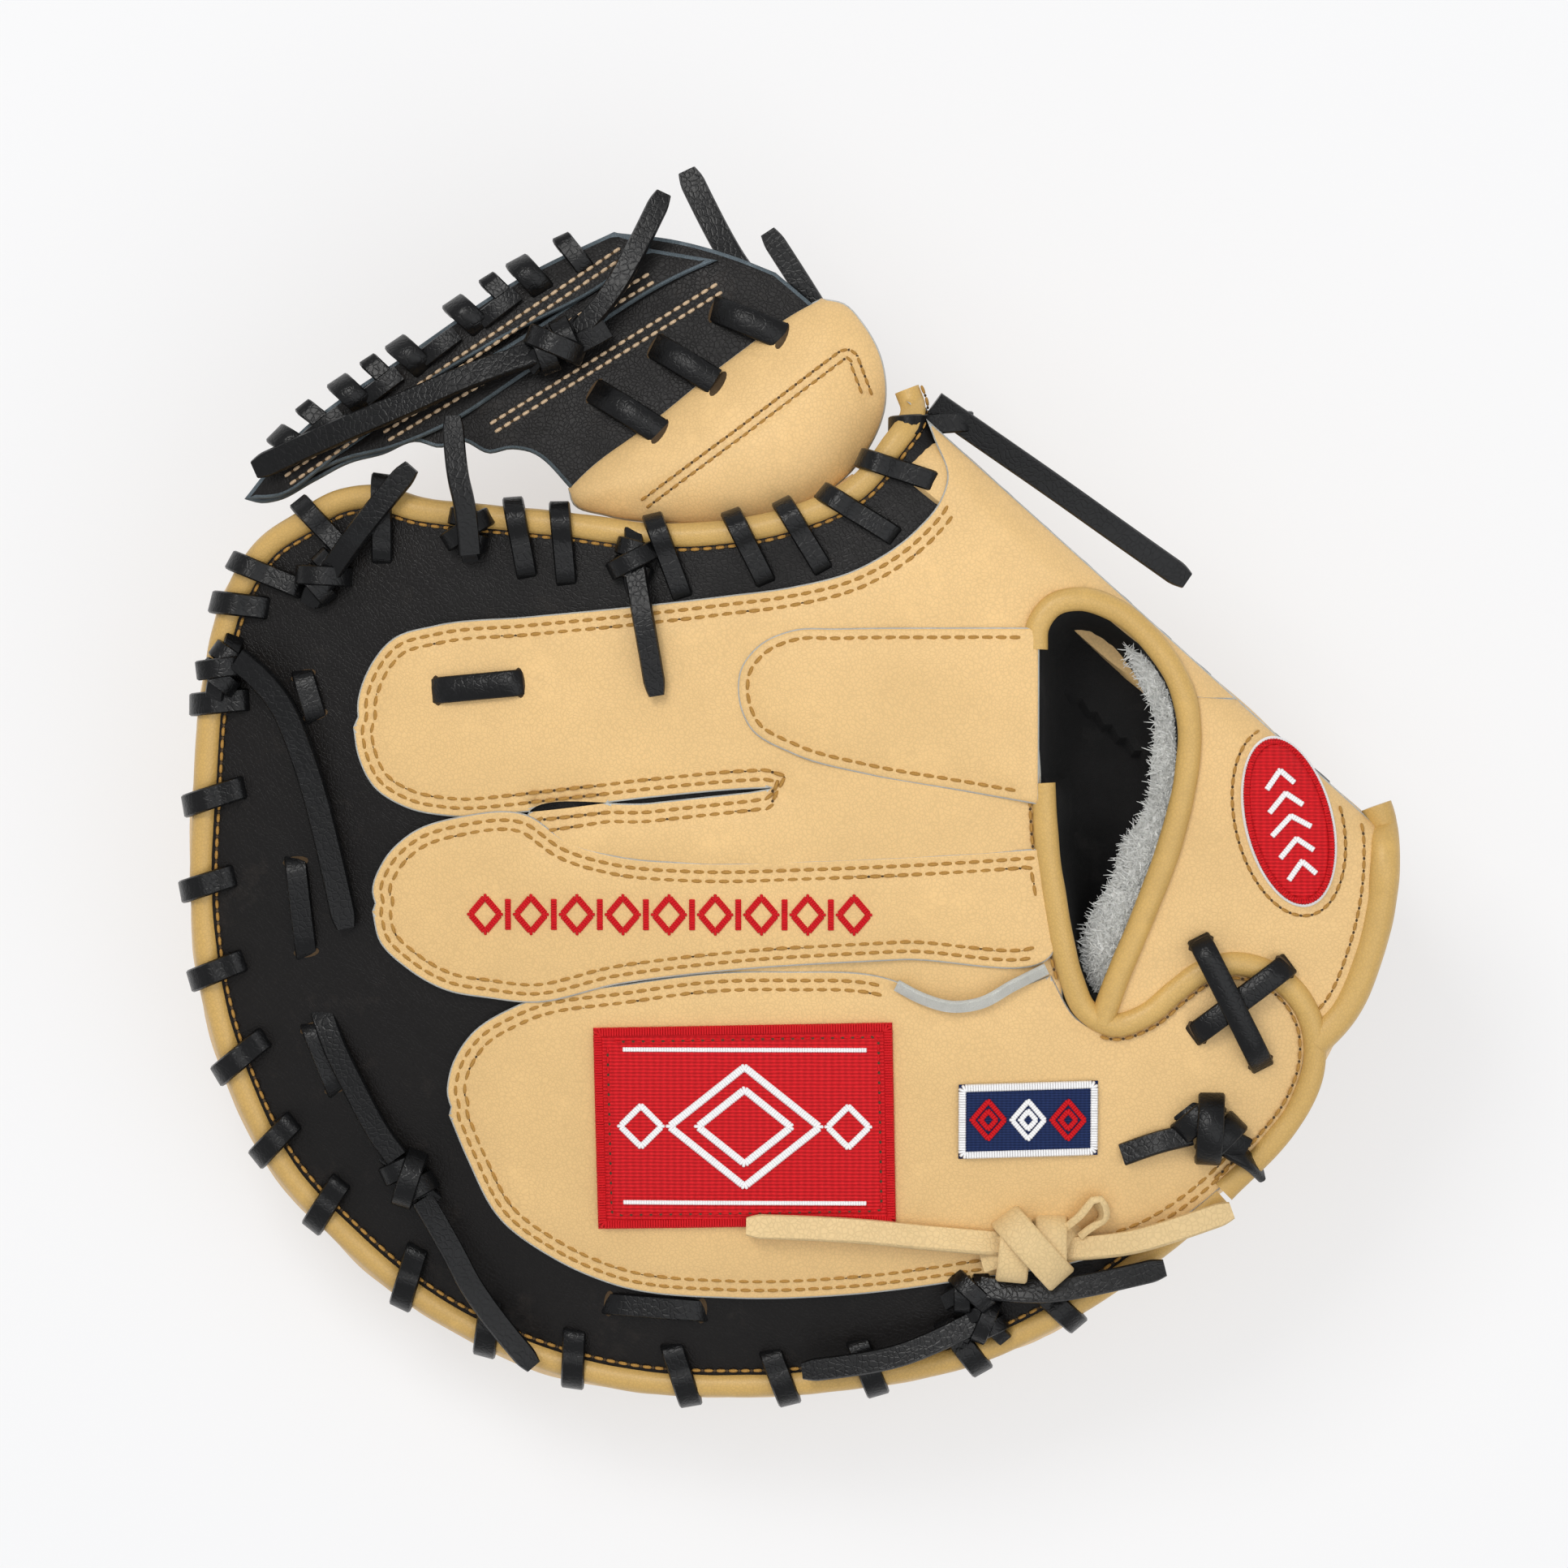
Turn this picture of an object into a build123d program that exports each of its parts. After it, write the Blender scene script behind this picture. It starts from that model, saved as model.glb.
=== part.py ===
"""A baseball catcher's mitt, lying palm down with its fingers along -X and its web towards +Y.

Every leather layer on the back follows one shallow dome, so a layer is a plain outline
cut from the space between two heights off that dome.  The palm is hollowed by a second
dome.  The thumb half folds towards the fingers about a line along the back, and the web
folds with it.
"""

from math import atan2, cos, degrees, pi, radians, sin, sqrt, tan
import os

from build123d import *

os.makedirs("parts", exist_ok=True)

# Back dome: centre line, height of its crown and radius
BACK_X = 60
BACK_Y = 80
BACK_CROWN = 108
BACK_RADIUS = 500
BACK_CENTRE = (BACK_X, BACK_Y, BACK_CROWN - BACK_RADIUS)

# Hollow of the palm
PALM_X = 5
PALM_Y = 0
PALM_CROWN = 55
PALM_RADIUS = 206
PALM_CENTRE = (PALM_X, PALM_Y, PALM_CROWN - PALM_RADIUS)

# Floor of the space that holds the hand
HAND_FLOOR_RADIUS = 430
HAND_FLOOR_CENTRE = (40, 30, 68 - HAND_FLOOR_RADIUS)

# Web dome
WEB_X = 10
WEB_Y = 55
WEB_CROWN = 94
WEB_RADIUS = 300
WEB_CENTRE = (WEB_X, WEB_Y, WEB_CROWN - WEB_RADIUS)

TALL = 140
UP = (0, 0, 1)
POLES_ASIDE = (0, 90, 0)

# Leather and trim
LEATHER = 2.5
SKIN = 3.0
GAP = 0.3
BINDING_WIDTH = 5.2
BINDING_PROUD = 0.8
BINDING_DEPTH = 5.0
LACE_WIDTH = 6.2
LACE_THICK = 2.0
LACE_TUBE = 4.0
PATCH_THICK = 1.4

# Fold line between the two halves: the thumb's ridge, and the hinge a little inside it
RIDGE_START = Vector(7, 124, 0)
RIDGE_END = Vector(145, 0, 0)
ALONG = (RIDGE_END - RIDGE_START).normalized()
OUTWARD = Vector(-ALONG.Y, ALONG.X, 0)
HINGE_IN = 18
HINGE_Z = 78
HINGE_CLEARANCE = 1.5
THROAT_ANGLE = 33
THUMB_START = 38
THUMB_END = 190


def ridge(along, outward, z=0):
    """A place given along the ridge, outward from it and up."""
    place = RIDGE_START + ALONG * along + OUTWARD * outward
    return Vector(place.X, place.Y, z)


def dome_z(x, y, centre, radius):
    """Height of a dome over a place in plan."""
    return centre[2] + sqrt(radius**2 - (x - centre[0]) ** 2 - (y - centre[1]) ** 2)


def back_z(x, y):
    return dome_z(x, y, BACK_CENTRE, BACK_RADIUS)


def web_z(x, y):
    return dome_z(x, y, WEB_CENTRE, WEB_RADIUS)


def keep_under(centre, radius):
    """Keep what lies under a dome."""
    with Locations(centre):
        Sphere(radius, rotation=POLES_ASIDE, mode=Mode.INTERSECT)


def cut_under(centre, radius):
    """Take away what lies under a dome."""
    with Locations(centre):
        Sphere(radius, rotation=POLES_ASIDE, mode=Mode.SUBTRACT)


def dome_layer(low, high, centre=BACK_CENTRE, radius=BACK_RADIUS):
    """Keep only what lies between two heights off a dome."""
    keep_under(centre, radius + high)
    cut_under(centre, radius + low)


def raise_plan(plan, mode=Mode.ADD):
    """Raise a plan straight up, through every layer."""
    extrude(plan, amount=TALL, dir=UP, mode=mode)


def plan_of(*runs):
    """A closed outline in plan.  Each run is one curve that ends where the next one starts."""
    with BuildSketch() as plan:
        with BuildLine():
            for run, following in zip(runs, runs[1:] + runs[:1]):
                points = [*run, following[0]]
                if len(points) == 2:
                    Line(*points)
                else:
                    Spline(*points)
        make_face()
    return plan.sketch


def polygon_plan(points):
    """A closed outline of straight runs."""
    return plan_of(*[[point] for point in points])


def drawn_in(points, inset):
    """The corners of a closed outline that runs anticlockwise, moved inwards by inset."""
    moved = []
    for before, here, after in zip(points[-1:] + points[:-1], points, points[1:] + points[:1]):
        first = (Vector(*here) - Vector(*before)).normalized()
        second = (Vector(*after) - Vector(*here)).normalized()
        mitre = Vector(-first.Y - second.Y, first.X + second.X)
        step = 2 * inset / mitre.length**2
        moved.append((here[0] + mitre.X * step, here[1] + mitre.Y * step))
    return moved


def finish(part, name):
    part.label = name
    export_step(part, f"parts/{name}.step")


# ---------------------------------------------------------------- outlines of the finger half
FINGER_RIM = [
    (-124, 69), (-136, 52), (-143, 5), (-142, -40), (-124, -87), (-87, -122),
    (-36, -140), (16, -139), (71, -121), (100, -96), (124, -71), (135, -48),
]
FOLD_IN = -HINGE_IN - HINGE_CLEARANCE
FOLD_ENDS = (200, 37.7)
FOLD_LINE = [tuple(ridge(along, FOLD_IN))[:2] for along in FOLD_ENDS]
WEB_SIDE_RIM = [(1, 72), (-15, 69), (-52, 72), (-88, 76), (-99, 79), (-107, 78)]


def finger_plan(inset):
    """Plan of the finger half, drawn in by inset."""
    corners = drawn_in(FINGER_RIM + FOLD_LINE + WEB_SIDE_RIM, inset)
    heel = len(FINGER_RIM)
    return plan_of(corners[:heel], [corners[heel]], corners[heel + 1 :])


def throat(setback):
    """The slanted face of the finger half under the fold line, set back by setback."""
    slope = radians(THROAT_ANGLE)
    face_dir = OUTWARD * cos(slope) - Vector(0, 0, sin(slope))
    start = ridge(0, FOLD_IN, HINGE_Z) - face_dir * setback
    return Plane(origin=start, z_dir=face_dir, x_dir=ALONG)


def padded_blank(inset, wall):
    """The palm of the finger half as a blank: its rim drawn in by inset, its faces by wall."""
    raise_plan(Location((0, 0, wall)) * finger_plan(inset))
    keep_under(BACK_CENTRE, BACK_RADIUS - BINDING_DEPTH - GAP)
    split(bisect_by=throat(wall), keep=Keep.BOTTOM)
    cut_under(PALM_CENTRE, PALM_RADIUS + wall)


# ---------------------------------------------------------------- finger half: palm and padding
HAND_FINGERS = [
    (60, 58), (10, 48), (-60, 46), (-100, 24), (-100, -30), (-84, -72), (-40, -100), (30, -106),
    (84, -84),
]
WRIST_MOUTH = [(112, -70), (175, -70), (175, 0), (123, 20), (102, 2)]
with BuildPart() as hand_space:
    with BuildSketch() as hand_plan:
        with BuildLine():
            fingers = Spline(*HAND_FINGERS)
            Polyline(fingers @ 1, *WRIST_MOUTH, fingers @ 0)
        make_face()
    raise_plan(hand_plan.sketch)
    cut_under(HAND_FLOOR_CENTRE, HAND_FLOOR_RADIUS)

PALM_INSET = 0.8
with BuildPart() as palm_lining_blank:
    padded_blank(PALM_INSET + SKIN, SKIN)

with BuildPart() as palm_leather:
    padded_blank(PALM_INSET, 0)
    add(palm_lining_blank.part, mode=Mode.SUBTRACT)
    add(hand_space.part, mode=Mode.SUBTRACT)
finish(palm_leather.part, "palm_leather")

with BuildPart() as palm_padding:
    padded_blank(PALM_INSET + SKIN + GAP, SKIN + GAP)
    add(hand_space.part, mode=Mode.SUBTRACT)
finish(palm_padding.part, "palm_padding")

LINING = 1.2
LINING_PLAN = [
    (56, 44), (8, 40), (-20, 38), (-30, -84), (28, -96), (78, -78), (104, -62), (124, -62),
    (122, -22), (96, 4),
]
with BuildPart() as hand_lining:
    raise_plan(polygon_plan(LINING_PLAN))
    dome_layer(GAP, GAP + LINING, HAND_FLOOR_CENTRE, HAND_FLOOR_RADIUS)
finish(hand_lining.part, "hand_lining")

# Finger stalls: soft tubes that lie side by side from the knuckles towards the rim
STALL_OUTER = 9.5
STALL_WALL = 1.4
STALL_ROOT_X = 8
STALL_TIP_X = -84
STALL_DROP = SKIN + STALL_OUTER + 1.5
STALLS = [(30, 18), (6, -2), (-20, -24), (-50, -45)]
with BuildPart() as finger_stalls:
    for root_y, tip_y in STALLS:
        root = Vector(STALL_ROOT_X, root_y, back_z(STALL_ROOT_X, root_y) - STALL_DROP)
        tip = Vector(STALL_TIP_X, tip_y, back_z(STALL_TIP_X, tip_y) - STALL_DROP)
        with BuildSketch(Plane(origin=root, z_dir=tip - root)):
            Circle(STALL_OUTER)
            Circle(STALL_OUTER - STALL_WALL, mode=Mode.SUBTRACT)
        extrude(amount=(tip - root).length)
finish(finger_stalls.part, "finger_stalls")

# ---------------------------------------------------------------- finger half: back shell and rim
BACK_CUT = [
    (61, 130), (61, -36), (68, -53), (82, -57), (100, -62), (100, -76), (160, -76), (160, 130),
]
with BuildPart() as back_shell:
    raise_plan(finger_plan(BINDING_WIDTH + GAP))
    raise_plan(polygon_plan(BACK_CUT), Mode.SUBTRACT)
    dome_layer(-SKIN, 0)
finish(back_shell.part, "back_shell")

BINDING_STOP = [(112, -150), (112, -82), (96, -70), (16, 60), (16, 130), (190, 130), (190, -150)]
with BuildPart() as rim_binding:
    raise_plan(finger_plan(0))
    raise_plan(finger_plan(BINDING_WIDTH), Mode.SUBTRACT)
    raise_plan(polygon_plan(BINDING_STOP), Mode.SUBTRACT)
    dome_layer(-BINDING_DEPTH, BINDING_PROUD)
finish(rim_binding.part, "rim_binding")

# ---------------------------------------------------------------- finger half: panels on the back
INDEX_PANEL = [
    [
        (33, 72.5), (28, 65), (17, 59), (2, 55), (-40, 50), (-84, 46), (-101, 34), (-103, 15),
        (-91, 2), (-62, 1),
    ],
    [(-5, 6), (-30, -5)],
    [(56, -3)],
    [(60, 8)],
    [(61, 48)],
]
MIDDLE_PANEL = [
    [
        (60, -8.5), (7, -11), (-23, -12), (-52, -8), (-78, -1), (-97, -11), (-98, -30), (-82, -42),
        (-61, -45), (-17, -37),
    ],
    [(62, -33)],
]
LITTLE_PANEL = [
    [
        (63, -45), (40, -41), (0, -39), (-37, -42), (-66, -47), (-81, -62), (-77, -83), (-57, -106),
        (-13, -116), (46, -110),
    ],
    [(97, -90), (91, -70)],
    [(90, -56), (76, -57)],
]
WRIST_TAB = [
    [(93, -57), (96, -72)],
    [(100, -91), (112, -85), (124, -71), (129, -58), (124, -46), (114, -39), (102, -40)],
]
POINTING_PAD = [
    [(58, 44), (13, 45), (-2, 43), (-11, 31), (-9, 21), (2, 15), (20, 10), (43, 6)],
    [(58, 4)],
]
PAD_STACK = LEATHER + GAP
PAD_THICK = 3
STRAP_DROP = 0.5
WOOL_DEPTH = 9
EDGING_THICK = 2

with BuildPart() as index_panel:
    raise_plan(plan_of(*INDEX_PANEL))
    dome_layer(GAP, LEATHER)
finish(index_panel.part, "index_panel")

with BuildPart() as middle_panel:
    raise_plan(plan_of(*MIDDLE_PANEL))
    dome_layer(GAP, LEATHER)
finish(middle_panel.part, "middle_panel")

with BuildPart() as little_finger_panel:
    raise_plan(plan_of(*LITTLE_PANEL))
    dome_layer(GAP, LEATHER)
finish(little_finger_panel.part, "little_finger_panel")

with BuildPart() as wrist_tab:
    raise_plan(plan_of(*WRIST_TAB))
    dome_layer(PAD_STACK, PAD_STACK + LEATHER)
finish(wrist_tab.part, "wrist_tab")

with BuildPart() as pointing_pad:
    raise_plan(plan_of(*POINTING_PAD))
    dome_layer(PAD_STACK, PAD_STACK + PAD_THICK)
finish(pointing_pad.part, "pointing_pad")

# ---------------------------------------------------------------- finger half: strap and opening
STRAP = [
    [(100, 12), (95, -8), (88, -28)],
    [(81, -50), (96, -52), (112, -55)],
    [(122, -55), (131, -46), (137, -34)],
    [(138.5, -27)],
]
SHEARLING = [
    [(86, 16), (90, 6), (87, -8), (82, -26)],
    [(78, -42), (88, -50), (108, -53)],
    [(124, -52), (132, -40)],
    [(134, -28)],
    [(112, -8)],
]
with BuildPart() as wrist_strap:
    raise_plan(plan_of(*STRAP))
    split(bisect_by=Plane(origin=ridge(0, FOLD_IN), z_dir=OUTWARD), keep=Keep.BOTTOM)
    dome_layer(-STRAP_DROP, LEATHER - STRAP_DROP)
finish(wrist_strap.part, "wrist_strap")

with BuildPart() as strap_shearling:
    raise_plan(plan_of(*SHEARLING))
    dome_layer(-WOOL_DEPTH, -STRAP_DROP - GAP)
finish(strap_shearling.part, "strap_shearling")



def edging(points, width):
    """Plan of a strip of even width along a curve."""
    with BuildSketch() as plan:
        with BuildLine():
            line = Spline(*points)
        trace(line, line_width=width)
    return plan.sketch


OPENING_FRONT = [(63, 4), (64, -12), (66, -30), (68, -46)]
with BuildPart() as opening_binding:
    raise_plan(edging(OPENING_FRONT, BINDING_WIDTH))
    dome_layer(PAD_STACK, PAD_STACK + EDGING_THICK)
finish(opening_binding.part, "opening_binding")

HEEL_WIDTH = 4
HEEL_HALF_THICK = 3
HEEL_BINDING = [(130.5, -54), (136, -46), (140.5, -36), (142.3, -29.5)]
with BuildPart() as heel_binding:
    raise_plan(edging(HEEL_BINDING, HEEL_WIDTH))
    dome_layer(-HEEL_HALF_THICK, HEEL_HALF_THICK)
finish(heel_binding.part, "heel_binding")

# ---------------------------------------------------------------- finger half: patches
RED_PATCH = [(-46, -51), (-45, -98), (26, -96), (26, -50)]
SMALL_PATCH = [(42, -65), (42, -82), (75, -81), (75, -64)]
for name, corners in (("red_patch", RED_PATCH), ("small_patch", SMALL_PATCH)):
    with BuildPart() as patch:
        raise_plan(polygon_plan(corners))
        dome_layer(PAD_STACK, PAD_STACK + PATCH_THICK)
    finish(patch.part, name)

OVAL_PLACE = (119, -8)
OVAL_HALVES = (6.5, 13)
OVAL_TURN = 15
with BuildPart() as strap_patch:
    with BuildSketch() as oval:
        with Locations(Location(OVAL_PLACE, OVAL_TURN)):
            Ellipse(*OVAL_HALVES)
    raise_plan(oval.sketch)
    split(bisect_by=Plane(origin=ridge(0, FOLD_IN - 1), z_dir=OUTWARD), keep=Keep.BOTTOM)
    dome_layer(LEATHER, LEATHER + PATCH_THICK)
finish(strap_patch.part, "strap_patch")

# ---------------------------------------------------------------- thumb half
# Section of the thumb half, outward along X and up along Y, from the fold round under it
THUMB_FOLD = -16.5
THUMB_INNER = [(THUMB_FOLD, HINGE_Z), (-19, 70), (-24, 50), (-29, 22), (-28, 5)]
THUMB_FOOT = [(-24, 0)]
THUMB_OUTER = [(-19, 0), (-13, 5), (-7, 22), (-4, 45), (-3, 78), (-5, 97), (-9, 110)]
THUMB_TOP = [(THUMB_FOLD, 114)]
THUMB_SKIN = 2.6
THUMB_SEAM = 38


def thumb_blank(inset, cap):
    """The thumb half as a blank: its section drawn in by inset, its ends and top by cap."""
    corners = drawn_in(THUMB_INNER + THUMB_FOOT + THUMB_OUTER + THUMB_TOP, inset)
    foot = len(THUMB_INNER)
    section = plan_of(corners[:foot], [corners[foot]], corners[foot + 1 : -1], [corners[-1]])
    end = Plane(origin=ridge(THUMB_START + cap, 0), x_dir=OUTWARD, z_dir=ALONG)
    extrude(end.location * section, amount=THUMB_END - THUMB_START - 2 * cap, dir=ALONG)
    keep_under(BACK_CENTRE, BACK_RADIUS + LEATHER - cap)


with BuildPart() as thumb_filling:
    thumb_blank(THUMB_SKIN, THUMB_SKIN)

with BuildPart() as thumb_leather:
    thumb_blank(0, 0)
    add(thumb_filling.part, mode=Mode.SUBTRACT)

# Flat tube inside the padding for the wearer's thumb, open at the heel end
STALL_START = 34
STALL_OUT = -13
STALL_UP = 56
STALL_ROOT = ridge(THUMB_START + STALL_START, STALL_OUT, STALL_UP)
STALL_PLACE = Plane(origin=STALL_ROOT, x_dir=OUTWARD, z_dir=ALONG)
STALL_DEPTH = THUMB_END - THUMB_START - STALL_START
STALL_SPAN = 22
STALL_WIDE = 10
with BuildPart() as thumb_stall_space:
    with BuildSketch(STALL_PLACE.offset(-2)):
        SlotCenterToCenter(STALL_SPAN, STALL_WIDE + 2 * GAP, rotation=90)
    extrude(amount=STALL_DEPTH + 10)

# The leather parts along a seam low on the outer face
SEAM_SIDES = [
    (-60, -5), (-60, 130), (-12.5, 130), (-12.5, THUMB_SEAM), (20, THUMB_SEAM), (20, -5),
]
with BuildPart() as seam_space:
    with BuildSketch(Plane(origin=ridge(0, 0), x_dir=OUTWARD, z_dir=ALONG)):
        Polygon(*SEAM_SIDES, align=None)
    extrude(amount=THUMB_END + 20)

with BuildPart() as thumb_back:
    add(thumb_leather.part)
    add(seam_space.part, mode=Mode.SUBTRACT)
    add(thumb_stall_space.part, mode=Mode.SUBTRACT)
finish(thumb_back.part, "thumb_back")

with BuildPart() as thumb_palm:
    add(thumb_leather.part)
    add(seam_space.part, mode=Mode.INTERSECT)
    add(thumb_stall_space.part, mode=Mode.SUBTRACT)
finish(thumb_palm.part, "thumb_palm")

with BuildPart() as thumb_stall:
    with BuildSketch(STALL_PLACE):
        SlotCenterToCenter(STALL_SPAN, STALL_WIDE, rotation=90)
        SlotCenterToCenter(STALL_SPAN, STALL_WIDE - 2 * STALL_WALL, rotation=90, mode=Mode.SUBTRACT)
    extrude(amount=STALL_DEPTH)
finish(thumb_stall.part, "thumb_stall")

with BuildPart() as thumb_padding:
    thumb_blank(THUMB_SKIN + GAP, THUMB_SKIN + GAP)
    add(thumb_stall_space.part, mode=Mode.SUBTRACT)
finish(thumb_padding.part, "thumb_padding")

# Rolled binding along the thumb's rim, over the seam
BINDING_SECTION = [(-4.2, 35.5), (-2.6, 35.5), (-1.2, 38), (-2.7, 40.6), (-4.0, 40.6)]
BINDING_ENDS = 2
with BuildPart() as thumb_binding:
    start = ridge(THUMB_START + BINDING_ENDS, 0)
    with BuildSketch(Plane(origin=start, x_dir=OUTWARD, z_dir=ALONG)):
        Polygon(*BINDING_SECTION, align=None)
    extrude(amount=THUMB_END - THUMB_START - 2 * BINDING_ENDS)
finish(thumb_binding.part, "thumb_binding")

# Horseshoe binding round the top of the hand opening
OPENING_ARCH = [(65, 51.5), (74, 54), (84, 47.5), (93, 38), (100, 26)]
with BuildPart() as opening_arch:
    raise_plan(edging(OPENING_ARCH, BINDING_WIDTH))
    split(bisect_by=Plane(origin=ridge(0, THUMB_FOLD + 0.5), z_dir=OUTWARD), keep=Keep.TOP)
    dome_layer(PAD_STACK, PAD_STACK + EDGING_THICK)
finish(opening_arch.part, "opening_arch")

# ---------------------------------------------------------------- web
WEB_BASE = [
    [(-131, 77), (-123, 77), (-105, 85.5), (-89, 90), (-78, 90), (-71, 88), (-62, 88)],
    [(-53, 83)],
    [(5, 125.5)],
    [(-41, 140)],
]
GUSSET = [
    [(-50, 77.5), (-32, 73.5), (-4, 74), (5, 77.5), (14, 85), (19, 93)],
    [(21, 104), (20, 112), (15, 119)],
    [(8, 123)],
]
WEB_STRIPS = [
    [(-129, 78.5), (-121, 79.5), (-104, 91), (-92, 100.5), (-36, 134), (-41, 138.5)],
    [(-98, 91), (-86, 92.5), (-28, 129), (-34, 133.5)],
    [(-76, 91.5), (-66, 90), (-8, 127), (-20, 131.5)],
]
STRIP_TOP = 2.3
GUSSET_TOP = 6

with BuildPart() as web_panel:
    raise_plan(plan_of(*WEB_BASE))
    dome_layer(-LEATHER, 0, WEB_CENTRE, WEB_RADIUS)
finish(web_panel.part, "web_panel")

with BuildPart() as web_strips:
    for strip in WEB_STRIPS:
        raise_plan(polygon_plan(strip))
    dome_layer(GAP, STRIP_TOP, WEB_CENTRE, WEB_RADIUS)
finish(web_strips.part, "web_strips")

with BuildPart() as web_gusset:
    raise_plan(plan_of(*GUSSET))
    dome_layer(-2, GUSSET_TOP, WEB_CENTRE, WEB_RADIUS)
finish(web_gusset.part, "web_gusset")

# ---------------------------------------------------------------- laces
def lace_bar(middle, length, angle, width=LACE_WIDTH):
    """Plan of a straight stretch of flat lace."""
    with BuildSketch() as plan:
        with Locations(Location((*middle, 0), (0, 0, angle))):
            Rectangle(length, width)
    return plan.sketch


def lace_loop(place, outward, slope, above, below, reach):
    """A loop of flat lace over an edge: it lies above, turns down outside and ends below."""
    inner = GAP
    outer = GAP + LACE_THICK
    top = above + LACE_THICK
    with BuildSketch(Plane(origin=place, x_dir=outward, z_dir=outward.cross(Vector(*UP)))) as bend:
        Polygon(
            (-reach, above - slope * reach),
            (inner, above),
            (inner, -below),
            (outer, -below),
            (outer, top - 1),
            (inner, top),
            (-reach, top - slope * reach),
            align=None,
        )
    extrude(bend.sketch, amount=(LACE_WIDTH - 1) / 2, both=True)


def edge_loops(edge, distances, height, above, below, reach):
    """Loops over an edge at the given distances along it; outside is on its right."""
    for distance in distances:
        spot = edge.position_at(distance, position_mode=PositionMode.LENGTH)
        heading = edge.tangent_at(distance, position_mode=PositionMode.LENGTH)
        outward = Vector(heading.Y, -heading.X, 0).normalized()
        inside = spot - outward * reach
        z = height(spot.X, spot.Y)
        slope = (height(inside.X, inside.Y) - z) / reach
        lace_loop(Vector(spot.X, spot.Y, z), outward, -slope, above, below, reach)


RIM_LOOPS = [17 + 25.2 * k for k in range(16)]
WEB_SIDE_LOOPS = [31 + 18.5 * k for k in range(7)]
WEB_LIP_LOOPS = [18 + 18.5 * k for k in range(5)]
with BuildPart() as rim_lace:
    with BuildLine() as rim_line:
        Spline(*FINGER_RIM, FOLD_LINE[0])
    edge_loops(rim_line.edge(), RIM_LOOPS, back_z, 1.9, 12, 9)
finish(rim_lace.part, "rim_lace")

with BuildPart() as web_side_lace:
    with BuildLine() as web_side_line:
        Spline(FOLD_LINE[1], *WEB_SIDE_RIM, FINGER_RIM[0])
    edge_loops(web_side_line.edge(), WEB_SIDE_LOOPS, back_z, 1.9, 8, 9)
finish(web_side_lace.part, "web_side_lace")

with BuildPart() as web_lip_lace:
    with BuildLine() as lip_line:
        Line((-41, 140), (-131, 77))
    edge_loops(lip_line.edge(), WEB_LIP_LOOPS, web_z, STRIP_TOP + 1, 5, 8)
finish(web_lip_lace.part, "web_lip_lace")

SEAM_RUN = Vector(*WEB_BASE[2][0]) - Vector(*WEB_BASE[1][0])
SEAM_ANGLE = degrees(atan2(SEAM_RUN.Y, SEAM_RUN.X))
with BuildPart() as web_seam_lace:
    for middle in ((-8, 118), (-23, 107), (-38, 96)):
        raise_plan(lace_bar(middle, 15, SEAM_ANGLE + 90, 7))
    dome_layer(GUSSET_TOP + GAP, GUSSET_TOP + GAP + LACE_THICK, WEB_CENTRE, WEB_RADIUS)
finish(web_seam_lace.part, "web_seam_lace")

THUMB_LOOP_SECTION = [
    (-3.6, 43.5), (-2.8, 43.5), (0.9, 38), (-3.6, 29), (-5.4, 29), (-0.7, 38),
]
with BuildPart() as thumb_lace:
    for along in range(THUMB_START + 12, THUMB_END - 6, 25):
        with BuildSketch(Plane(origin=ridge(along, 0), x_dir=OUTWARD, z_dir=ALONG)):
            Polygon(*THUMB_LOOP_SECTION, align=None)
        extrude(amount=LACE_WIDTH - 1)
finish(thumb_lace.part, "thumb_lace")

SHELL_RUNS = [
    ((-114.5, 29), 10, 106), ((-117, -22), 22, 95), ((-112, -59), 17, 100), ((-31, -119.5), 24, -2),
    ((-103, -63), 36, -64),
]
with BuildPart() as shell_lace:
    for middle, length, angle in SHELL_RUNS:
        raise_plan(lace_bar(middle, length, angle, 5))
    dome_layer(GAP, GAP + LACE_THICK)
finish(shell_lace.part, "shell_lace")

with BuildPart() as index_slot_lace:
    raise_plan(lace_bar((-73, 31), 22, -6))
    dome_layer(PAD_STACK, PAD_STACK + LACE_THICK)
finish(index_slot_lace.part, "index_slot_lace")

TAB_TOP = PAD_STACK + LEATHER + GAP
with BuildPart() as wrist_lace_under:
    raise_plan(lace_bar((108.5, -44.5), 28, -28, 5))
    dome_layer(TAB_TOP, TAB_TOP + LACE_THICK)
finish(wrist_lace_under.part, "wrist_lace_under")

with BuildPart() as wrist_lace_over:
    raise_plan(lace_bar((107.5, -44.5), 32, -64, 5))
    dome_layer(TAB_TOP + LACE_THICK + GAP, TAB_TOP + 2 * LACE_THICK + GAP)
finish(wrist_lace_over.part, "wrist_lace_over")

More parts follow.
